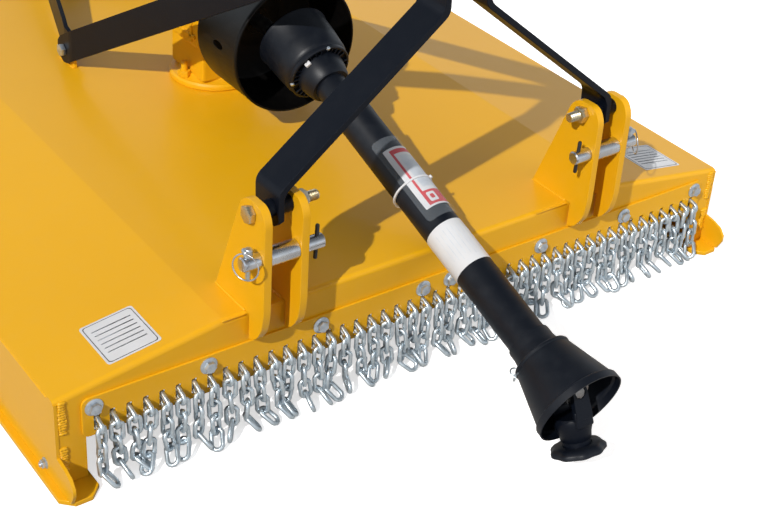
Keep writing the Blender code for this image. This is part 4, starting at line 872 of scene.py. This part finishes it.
def boltShape(centre, bolt, side):
    # a bolt along X with its head, nut and thread end, all in millimetres from its middle
    bm = bmesh.new()
    radius, half, head, nut = bolt["radius"], bolt["half"], bolt["head"], bolt["nut"]
    if side < 0:
        start, stop = -half - head, half + nut + bolt["tail"]
        headSpan, nutSpan, threaded = (-half - head, -half), (half + 0.2, half + nut), (half, stop)
    else:
        start, stop = -half - nut - bolt["tail"], half + head
        headSpan, nutSpan, threaded = (half, half + head), (-half - nut + 0.2, -half), (start, -half)
    turns = 2 * int((threaded[1] - threaded[0]) / thread["pitch"])
    first, step = threaded[0] + thread["lead"], thread["pitch"] / 2
    threads = [(radius - thread["root" if i % 2 else "crest"], first + i * step) for i in range(turns)]
    point = radius - thread["point"]
    if side > 0:
        profile = [(0, start + 0.6), (point, start + 0.6), *threads[2:], (radius, -half), (radius, stop - 1),
                   (0, stop - 1)]
    else:
        profile = [(0, start + 1), (radius, start + 1), (radius, half), *threads[:-2], (point, stop - 0.6),
                   (0, stop - 0.6)]
    addShape(bm, spun(profile, centre, (1, 0, 0), 28))
    addShape(bm, hexPrism(radius * bolt["across"], *headSpan, centre, (1, 0, 0), 7))
    addShape(bm, hexPrism(radius * bolt["across"], *nutSpan, centre, (1, 0, 0), 21, 0.2))
    return bm


def makeBolts():
    m, f, s = mastBolt, footBolt, spacerBolt
    for side, word in ((-1, "left"), (1, "right")):
        centre = at(side * m["x"], m["y"], m["z"])
        spacers = bmesh.new()
        near, far = m["spacer"]
        for low, high in ((-far, -near), (near, far)):
            profile = [(10, low), (15, low), (16, low + 1), (16, high - 1), (15, high), (10, high)]
            addShape(spacers, spun(profile, centre, (1, 0, 0), 32))
        makePiece("mast.spacers." + word, spacers, "blackPaint", "deck", sharp=30)
        makePiece("mast.bolt.shown." + word, boltShape(centre, m, side), "yellowZinc", "deck",
                  ("mast_bolt_" + word,), 28)
        bolt = boltShape(at(side * f["x"], f["y"], f["z"]), f, side)
        makePiece("foot.bolt.shown." + word, bolt, "zincBolt", "deck", ("brace_foot_bolt_" + word,), 28)
    centre, end = at(0, s["y"], s["z"]), s["spacer"]
    bolt = boltShape(centre, s, 1)
    addShape(bolt, spun(mirrored([(10, -end), (15, -end), (16, -end + 1)]), centre, (1, 0, 0), 36))
    makePiece("mast.spacer.bolt.shown", bolt, "yellowZinc", "deck", ("mast_spacer_bolt",), 28)


def makeMast():
    for word in ("left", "right"):
        softened("mast_leg_" + word, "blackPaint", 1.5, 12)
        softened("rear_brace_" + word, "blackPaint", 1.2, 10)


# gearbox and its shield

gearSizes = {"y": 872, "axisZ": 448, "half": 92, "ribFace": 88, "ribZ": (380, 505), "ribY": (815, 930),
             "studRing": 89, "studZ": 259.5, "capRing": 54, "capZ": 545.6, "coverZ": 549, "sideBoltX": 92.5,
             "sideBoltZ": 507, "plugZ": 415}


def makeGearbox():
    g = gearSizes
    y = g["y"]
    spot, axis = at(0, y, 0), at(0, 0, g["axisZ"])
    bm = spun([(22.5, 215), (46, 215), (50, 219), (50, 244.3), (101, 244.3), (104, 247), (104, 255),
               (100, 259.5), (84, 262), (78, 266), (70, 270), (70, 350), (60, 361), (22.5, 361)], spot,
              (0, 0, 1), 64)
    addShape(bm, block((-74, 796, 262), (74, 946, 356), 10))
    addShape(bm, block((-g["half"], 790, 350), (g["half"], 955, 535), 14))
    addShape(bm, spun([(18, 697), (52, 697), (55, 699.5), (55, 772), (60, 784), (72, 796), (18, 796)], axis,
                      (0, 1, 0), 48))
    addShape(bm, spun([(0, 950), (60, 950), (57, 962), (55, 970), (52, 971), (50, 968), (0, 968)], axis,
                      (0, 1, 0), 48))
    for side in (-1, 1):
        low, high = side * g["ribFace"], side * (g["ribFace"] + 8)
        for z in g["ribZ"]:
            addShape(bm, block((low, 800, z - 5), (high, 945, z + 5), 2))
        for along in g["ribY"]:
            addShape(bm, block((low, along - 5, 366), (high, along + 5, 520), 2))
    makePiece("gearbox.shown", bm, "yellowPaint", "deck", ("gearbox_housing",), 35, True)
    # the sealing carrier closes the nose inside the can; its near-black plastic is partly the carrier's own
    # colour and partly painted shade for the dark inside of the can
    sealAndShade = spun([(18.4, 690.5), (30, 690.5), (31, 692), (52, 692), (60, 693.5), (60, 695.6), (18.4, 695.6)],
                axis, (0, 1, 0), 48)
    makePiece("gearbox.seal", sealAndShade, "canPlastic", "deck", sharp=30)
    studs = bmesh.new()
    for number in range(4):
        x, along = around(g["studRing"], 190 + 90 * number)
        place = at(x, y + along, g["studZ"])
        addShape(studs, hexPrism(15, 0.5, 17, place, (0, 0, 1), 20 * number))
        addShape(studs, spun([(0, 0), (7.5, 0), (7.5, 38), (6.3, 40), (0, 40)], place, (0, 0, 1), 20))
    makePiece("gearbox.studs", studs, "yellowPaint", "deck", sharp=30)
    cover = spun([(0, 535.3), (66, 535.3), (68, 537.3), (68, 543), (65, 545.5), (30, 547), (27, 549),
                  (0, 549)], spot, (0, 0, 1), 48)
    makePiece("gearbox.cover.shown", cover, "yellowPaint", "deck", ("gearbox_top_cover",), 30)
    caps = bmesh.new()
    for number in range(6):
        x, along = around(g["capRing"], 15 + 60 * number)
        addShape(caps, hexPrism(7, 0, 5, at(x, y + along, g["capZ"]), (0, 0, 1), 13 * number))
    addShape(caps, hexPrism(14, 0, 10.2, at(0, y, g["coverZ"]), (0, 0, 1), 10))
    for side in (-1, 1):
        for along in g["ribY"]:
            place = at(side * g["sideBoltX"], along, g["sideBoltZ"])
            addShape(caps, hexPrism(8, 0, 4, place, (side, 0, 0), 12))
    makePiece("gearbox.cover.bolts", caps, "zincBolt", "deck", sharp=30)
    place = at(-g["half"], y, g["plugZ"])
    plug = hexPrism(11, 0, 8, place, (-1, 0, 0), 8)
    addShape(plug, spun([(0, 0), (15, 0), (15, 2), (0, 3)], place, (-1, 0, 0), 24))
    makePiece("gearbox.level.plug", plug, "zincBolt", "deck", sharp=30)


shieldSizes = {"radius": 148, "front": 532, "back": 699, "nose": 56, "holeY": 606, "holeZ": 456,
               "holeRadius": 0.0085, "screwRing": 82}


def makeShield():
    s = shieldSizes
    r, lip, back, nose = s["radius"], s["front"], s["back"], s["nose"] + 1
    axisZ = gearSizes["axisZ"]
    profile = [(r - 4.5, lip), (r - 3.5, lip - 0.3), (r - 1, lip + 0.2), (r, lip + 2), (r, lip + 9),
               (r - 1.2, lip + 11), (r - 1.2, back - 16), (r - 3, back - 6), (r - 8, back - 1),
               (r - 15, back), (nose, back), (nose, back - 3), (r - 15, back - 3), (r - 9, back - 5),
               (r - 5, back - 12), (r - 4.5, back - 18)]
    bm = spun(profile, at(0, 0, axisZ), (0, 1, 0), 72)
    shell = makePiece("input.shield.shown", bm, "canPlastic", "deck", ("input_shield",), 32)
    hole = bmesh.new()
    bmesh.ops.create_cone(hole, cap_ends=True, segments=32, radius1=s["holeRadius"], radius2=s["holeRadius"],
                          depth=0.06)
    bmesh.ops.scale(hole, vec=(1, 2.3, 1), verts=hole.verts)
    bmesh.ops.rotate(hole, cent=(0, 0, 0), matrix=Matrix.Rotation(math.pi / 2, 3, "Y"), verts=hole.verts)
    bmesh.ops.translate(hole, vec=at(-r, s["holeY"], s["holeZ"]), verts=hole.verts)
    cutAway(shell, [hole])
    screws = bmesh.new()
    for degrees in (35, 125, 215, 305):
        x, up = around(s["screwRing"], degrees)
        place = at(x, back - 3, axisZ + up)
        addShape(screws, hexPrism(8.5, 0, 7, place, (0, -1, 0), degrees))
        addShape(screws, spun([(0, 0), (12, 0), (12, 1.5), (0, 1.8)], place, (0, -1, 0), 24))
    makePiece("shield.screws", screws, "zincBolt", "deck", sharp=30)


# driveline

drive = {"joint": Vector((0, -0.349207, 0.448)), "slope": math.radians(18.4), "length": 920}
driveAlong = Vector((0, -math.cos(drive["slope"]), -math.sin(drive["slope"])))
driveUp = Vector((0, -math.sin(drive["slope"]), math.cos(drive["slope"])))


def onTube(s, degrees, radius):
    # a place on the driveline: distance from the gearbox joint, turn from the top, and radius
    angle = math.radians(degrees)
    around = Vector((1, 0, 0)) * math.sin(angle) + driveUp * math.cos(angle)
    return drive["joint"] + driveAlong * s * 0.001 + around * radius * 0.001


def tubeSpan(profile, steps=64):
    return spun(profile, drive["joint"], driveAlong, steps)


def tubeBlock(s, degrees, radius, size, width=0):
    # a box on the driveline, of a size across, outward and along, with edges eased by a width
    bm = bmesh.new()
    bmesh.ops.create_cube(bm, size=1)
    bmesh.ops.scale(bm, vec=Vector(size) * 0.001, verts=bm.verts)
    if width:
        ease(bm, bm.edges[:], width)
    place = onTube(s, degrees, radius)
    outward = (place - onTube(s, 0, 0)).normalized()
    move = Matrix((outward.cross(driveAlong), outward, driveAlong)).transposed().to_4x4()
    move.translation = place
    bmesh.ops.transform(bm, matrix=move, verts=bm.verts)
    return bm


def wrap(name, span, turn, radius, thick, material, corner, rows=6, lift=None):
    # a rounded patch laid round the tube, from s to s along it and from angle to angle round it
    bm = bmesh.new()
    bmesh.ops.create_grid(bm, x_segments=24, y_segments=rows, size=0.5)
    long, wide = span[1] - span[0], math.radians(turn[1] - turn[0]) * radius
    for v in bm.verts:
        x, y = v.co.x * wide, v.co.y * long
        gapX, gapY = corner - (wide / 2 - abs(x)), corner - (long / 2 - abs(y))
        away = math.hypot(gapX, gapY)
        if gapX > 0 and gapY > 0 and away > corner:
            x -= math.copysign(gapX * (1 - corner / away), x)
            y -= math.copysign(gapY * (1 - corner / away), y)
        rise = lift(x / wide * 2, y / long * 2) if lift else 0
        v.co = onTube(sum(span) / 2 + y, sum(turn) / 2 + math.degrees(x / radius), radius + rise)
    bmesh.ops.recalc_face_normals(bm, faces=bm.faces)
    middle = bm.faces[:][len(bm.faces) // 2]
    spot = middle.calc_center_median()
    axisPoint = drive["joint"] + driveAlong * (spot - drive["joint"]).dot(driveAlong)
    if middle.normal.dot(spot - axisPoint) < 0:
        bmesh.ops.reverse_faces(bm, faces=bm.faces)
    bmesh.ops.solidify(bm, geom=bm.faces[:], thickness=-thick * 0.001)
    bmesh.ops.recalc_face_normals(bm, faces=bm.faces)
    makePiece(name, bm, material, "outer_shield", sharp=50)


yokeSizes = {"slope": math.radians(63.4), "root": 52, "boot": 93, "grip": 102, "gripEnd": 118.5,
             "gripRadius": 51, "ear": (0.040, 0.012, 0.034), "earAlong": 0.049, "earOut": 0.0305,
             "scallops": 9, "scallopFrom": 0.042, "scallopDepth": 0.030, "cupOut": 0.0375}


def makeYokeDress():
    # the forged root of the tractor yoke and the pull collar, with its scalloped edge
    y = yokeSizes
    joint = drive["joint"] + driveAlong * drive["length"] * 0.001
    along = Vector((0, -math.cos(y["slope"]), -math.sin(y["slope"])))
    low, high = y["root"], y["boot"]
    root = spun([(20, low - 4), (34.6, low - 4), (36, low), (36, 60), (34, 70), (30.6, 80), (28.6, high - 1),
                 (27.6, high), (20, high)], joint, along, 56)
    for turn in (0, 180):
        # flats where the forging runs out into its ears
        ear = bmesh.new()
        bmesh.ops.create_cube(ear, size=1)
        bmesh.ops.scale(ear, vec=y["ear"], verts=ear.verts)
        ease(ear, ear.edges[:], 4, 3)
        move = (Matrix.Translation(joint + along * y["earAlong"]) @ aim(along)
                @ Matrix.Rotation(math.radians(turn), 4, "Z") @ Matrix.Translation((0, y["earOut"], 0)))
        bmesh.ops.transform(ear, matrix=move, verts=ear.verts)
        addShape(root, ear)
    makePiece("yoke.root", root, "blackPaint", "tractor_end", sharp=40)
    low, high, rim = y["grip"], y["gripEnd"], y["gripRadius"]
    grip = spun([(27.2, low), (40, low), (45, low + 1.5), (50, low + 6), (rim, low + 8), (rim, high - 3),
                 (rim - 2, high - 1), (44, high), (27.2, high)], (0, 0, 0), (0, 0, 1), 96)
    for v in grip.verts:
        if math.hypot(v.co.x, v.co.y) > y["scallopFrom"]:
            wave = 1 + y["scallopDepth"] * math.cos(y["scallops"] * math.atan2(v.co.y, v.co.x))
            v.co.x, v.co.y = v.co.x * wave, v.co.y * wave
    bmesh.ops.transform(grip, matrix=Matrix.Translation(joint) @ aim(along), verts=grip.verts)
    makePiece("pull.collar", grip, "blackPlastic", "lock_collar", ("yoke_lock_collar",), 40)
    # the bearing cups, in the ears of the drive tube's yoke
    cups = bmesh.new()
    for side in (-1, 1):
        face = joint + Vector((side * y["cupOut"], 0, 0))
        addShape(cups, spun([(0, -1), (7.5, -1), (7.5, 0.6), (6, 1.4), (0, 1.4)], face, (side, 0, 0), 28))
    makePiece("yoke.cups", cups, "yellowZinc", "outer_drive", sharp=30)


def makeBell():
    # the bell over the gearbox joint, with its slotted bearing ring
    bell = tubeSpan([(76, -62), (80, -62), (81, -60), (80, -56), (79, -54), (76.5, 0), (73.5, 32), (71, 39),
                     (68, 42), (37, 42), (37, 39), (65, 39), (70, 32), (73, 0), (76, -56)])
    makePiece("bell.shown", bell, "blackPlastic", "inner_shield", ("driveline_bell",), 32)
    ring = tubeSpan([(34.4, 42.3), (68, 42.3), (70, 43.5), (70, 50), (68, 52), (65, 52), (64, 46), (53, 46),
                     (53, 56), (50, 72), (45.5, 90), (42, 95), (34.4, 95)])
    for number in range(30):
        if number % 5 != 0:
            addShape(ring, tubeBlock(49, number * 12, 58.5, (1.8, 13, 8)))
    makePiece("bearing.ring.shown", ring, "blackPlastic", "inner_shield", ("bell_bearing_collar",), 32)
    screws = bmesh.new()
    for angle in (-103, 2, 124):
        place = onTube(51.5, angle, 66.5)
        addShape(screws, spun([(0, -2), (4.4, -2), (4.4, 1.6), (2.6, 3.4), (0, 3.8)], place, driveAlong, 20))
    makePiece("bearing.ring.screws", screws, "zincBolt", "inner_shield", sharp=30)
    tab = tubeBlock(54, -48, 56, (13, 7, 10), 1.6)
    makePiece("bearing.ring.tab", tab, "whiteVinyl", "inner_shield", sharp=30)


def makeTubes():
    inner = tubeSpan([(31, 42.3), (34, 42.3), (34, 600), (31, 600)])
    makePiece("inner.tube.shown", inner, "blackPlastic", "inner_shield", ("inner_shield_tube",), 32)
    outer = tubeSpan([(34.6, 183), (38.5, 183), (40, 185), (40, 204), (39.4, 206), (39.4, 800), (40, 802),
                      (40, 848), (37, 848), (37, 193), (34.6, 193)])
    makePiece("outer.tube.shown", outer, "blackPlastic", "outer_shield", ("outer_shield_tube",), 32)
    cone = tubeSpan([(40.4, 800), (42.8, 800), (43.6, 803), (43.6, 818), (44.5, 824), (47, 836), (50, 839),
                     (57.5, 840), (59, 842.5), (59, 846), (57.6, 848), (58.5, 850), (84.4, 946),
                     (87.4, 947.5), (88.6, 949.5), (89, 963), (86.4, 963), (85.8, 950), (82, 946),
                     (54.5, 852), (42, 844), (40.4, 844)])
    makePiece("cone.shown", cone, "blackPlastic", "outer_shield", ("driveline_cone",), 22)


tubeLabel = {"span": (520, 624), "turn": (-150, 150), "radius": 39.75, "rules": 11, "ruleStart": 534,
             "ruleStop": 600, "ruleTurn": -66, "ruleStep": 13, "ruleWide": 1.5, "ruleRadius": 40.1}
# each part of the card: its span along the tube, its turn round it, radius, thickness, material and corner
cardParts = {
    "card": ((320, 480), (-40, 56), 41.4, 0.4, "cardPaper", 2),
    "card.frame.end": ((441, 476), (-24, 44), 41.7, 0.25, "cardRed", 1),
    "card.frame.start": ((326, 337), (-24, 52), 41.7, 0.25, "cardRed", 1),
    "card.frame.side": ((326, 476), (-24, -17), 41.75, 0.25, "cardRed", 0.5),
    "card.window": ((447, 470), (-14, 12), 42.0, 0.2, "cardPaper", 3),
    "card.mark": ((453, 464), (-7, 5), 42.25, 0.2, "cardRed", 3),
    "card.picture": ((345, 432), (-8, 48), 41.7, 0.25, "cardGrey", 4)}


def pouchRise(x, y):
    # how far the film stands off, from -1 to 1 across and along it
    return 0.4 + 0.5 * math.sin(5 * y + 2 * x) * (1 - abs(y)) + 1.4 * abs(x) ** 6


def makeTubeDress():
    # plain label, wrapped card in its clear pouch, tie and the chain clip on the cone
    t = tubeLabel
    wrap("tube.label", t["span"], t["turn"], t["radius"], 0.25, "whiteVinyl", 9)
    for number in range(t["rules"]):
        angle = t["ruleTurn"] + t["ruleStep"] * number
        span = (t["ruleStart"], t["ruleStop"] + 5 * (number % 3))
        wrap(f"tube.label.rule{number}", span, (angle, angle + t["ruleWide"]), t["ruleRadius"], 0.1,
             "cardGrey", 0.3)
    for name, values in cardParts.items():
        wrap(name, *values)
    wrap("pouch", (292, 506), (-54, 62), 42.6, 0.3, "clearFilm", 9, 30, pouchRise)
    tie = tubeSpan([(41.2, 405), (44.6, 405), (44.6, 409), (41.2, 409)], 48)
    addShape(tie, tubeBlock(407, 48, 46, (7, 5, 6), 1))
    makePiece("cable.tie", tie, "whiteVinyl", "outer_shield", sharp=40)
    clips = ringShape(onTube(842, -100, 62), onTube(0, -10, 100) - onTube(0, -10, 0), 7.5, 1.5, 24)
    addShape(clips, ringShape(onTube(851, -104, 66), driveAlong + Vector((1, 0, 0)), 7, 1.5, 24))
    makePiece("chain.clip", clips, "zincChain", "outer_shield", sharp=80)


def makeDriveline():
    makeBell()
    makeTubes()
    for node in ("gearbox_yoke", "inner_drive_tube", "outer_drive_tube", "gearbox_joint_cross",
                 "tractor_joint_cross", "tractor_yoke", "input_shaft"):
        softened(node, "blackPaint" if node.endswith("yoke") else "bareSteel", 1.3, 0)
    makeYokeDress()
    makeTubeDress()


# rotor, blades and tail wheel

def makeRotor():
    for node, material in (("blade_carrier", "blackPaint"), ("spindle_nut", "bareSteel"),
                           ("rotor_shaft", "bareSteel"), ("blade_bolt_left", "bareSteel"),
                           ("blade_bolt_right", "bareSteel"), ("blade_left", "blackPaint"),
                           ("blade_right", "blackPaint")):
        softened(node, material, 1.4, 0)


tailSizes = {"wheelY": 1990, "wheelZ": 165, "nuts": 5, "nutRing": 58, "nutFace": 9}


def makeTail():
    softened("tail_frame", "blackPaint", 1.2, 0)
    softened("caster_fork", "blackPaint", 1.4, 0)
    s = tailSizes
    centre = at(0, s["wheelY"], s["wheelZ"])
    hub = spun(mirrored([(10.4, -48), (22, -48), (24, -46), (24, -12), (40, -9), (82, -8), (85, -12),
                         (85, -30), (88, -32), (95, -30)]), centre, (1, 0, 0), 56)
    makePiece("hub.shown", hub, "yellowPaint", "tail_wheel", ("tail_wheel_hub",), 30)
    tyre = spun(mirrored([(95.4, -30), (100, -36), (108, -42), (148, -42), (153, -40), (158, -33), (162, -26),
                          (163, -24), (163, -15), (165, -13), (165, -2.5), (163, -1)]), centre, (1, 0, 0), 96)
    makePiece("tyre.shown", tyre, "tyreRubber", "tail_wheel", ("tail_wheel_tyre",), 40)
    nuts = bmesh.new()
    for number in range(s["nuts"]):
        along, up = around(s["nutRing"], number * 360 / s["nuts"])
        for side in (-1, 1):
            place = at(side * s["nutFace"], s["wheelY"] + along, s["wheelZ"] + up)
            addShape(nuts, hexPrism(7.5, 0, 6, place, (side, 0, 0), 10))
    makePiece("hub.nuts", nuts, "zincBolt", "tail_wheel", sharp=30)


# plain labels

deckSlope = {"top": 244.15, "flatHalf": 480, "fall": 50 / 323}
labelSizes = {"corner": 0.006, "rules": 6, "ruleWide": 2.6, "ruleSide": 14, "ruleTop": 26, "ruleRoom": 42,
              "left": (-689, -586, 30, 149), "right": (612, 724, 45, 152)}
labelLayers = (("sheet", 0, 0.3, "whiteVinyl"), ("frame", 4, 0.4, "frameInk"),
               ("field", 5.6, 0.5, "whiteVinyl"))


def patch(name, x0, x1, y0, y1, thick, material):
    # a flat sheet with rounded corners on the deck, which falls away outside its flat middle
    bm = bmesh.new()
    verts = []
    for x, y in ((x0, y0), (x1, y0), (x1, y1), (x0, y1)):
        outside = max(0, abs(x) - deckSlope["flatHalf"])
        verts.append(bm.verts.new(at(x, y, deckSlope["top"] - outside * deckSlope["fall"])))
    face = bm.faces.new(verts)
    if face.normal.z < 0:
        face.normal_flip()
    bmesh.ops.bevel(bm, geom=bm.verts[:], offset=labelSizes["corner"], segments=4, profile=0.5,
                    affect="VERTICES", material=-1)
    raised = bmesh.ops.extrude_face_region(bm, geom=bm.faces[:])
    moved = [v for v in raised["geom"] if isinstance(v, bmesh.types.BMVert)]
    bmesh.ops.translate(bm, vec=(0, 0, thick * 0.001), verts=moved)
    bmesh.ops.recalc_face_normals(bm, faces=bm.faces)
    makePiece(name, bm, material, "deck", sharp=30)


def makeLabels():
    # white, with a thin dark frame and ruled lines
    s = labelSizes
    for side in ("left", "right"):
        x0, x1, y0, y1 = s[side]
        for part, inset, thick, material in labelLayers:
            patch(f"label.{side}.{part}", x0 + inset, x1 - inset, y0 + inset, y1 - inset, thick, material)
        for row in range(s["rules"]):
            y = y1 - s["ruleTop"] - row * (y1 - y0 - s["ruleRoom"]) / s["rules"]
            patch(f"label.{side}.rule{row}", x0 + s["ruleSide"], x1 - s["ruleSide"], y, y + s["ruleWide"],
                  0.6, "cardGrey")


makeCamera()
makeLights()
makeSky()
makeFloor()
makeDeck()
print("deck made")
makeGuard()
makeChains()
print("guard and chains made")
makeHitch()
makeBolts()
makeMast()
print("hitch and mast made")
makeGearbox()
makeShield()
makeDriveline()
print("driveline made")
makeRotor()
makeTail()
makeLabels()
print("rotor, tail and labels made")

scene.view_settings.view_transform = "Standard"
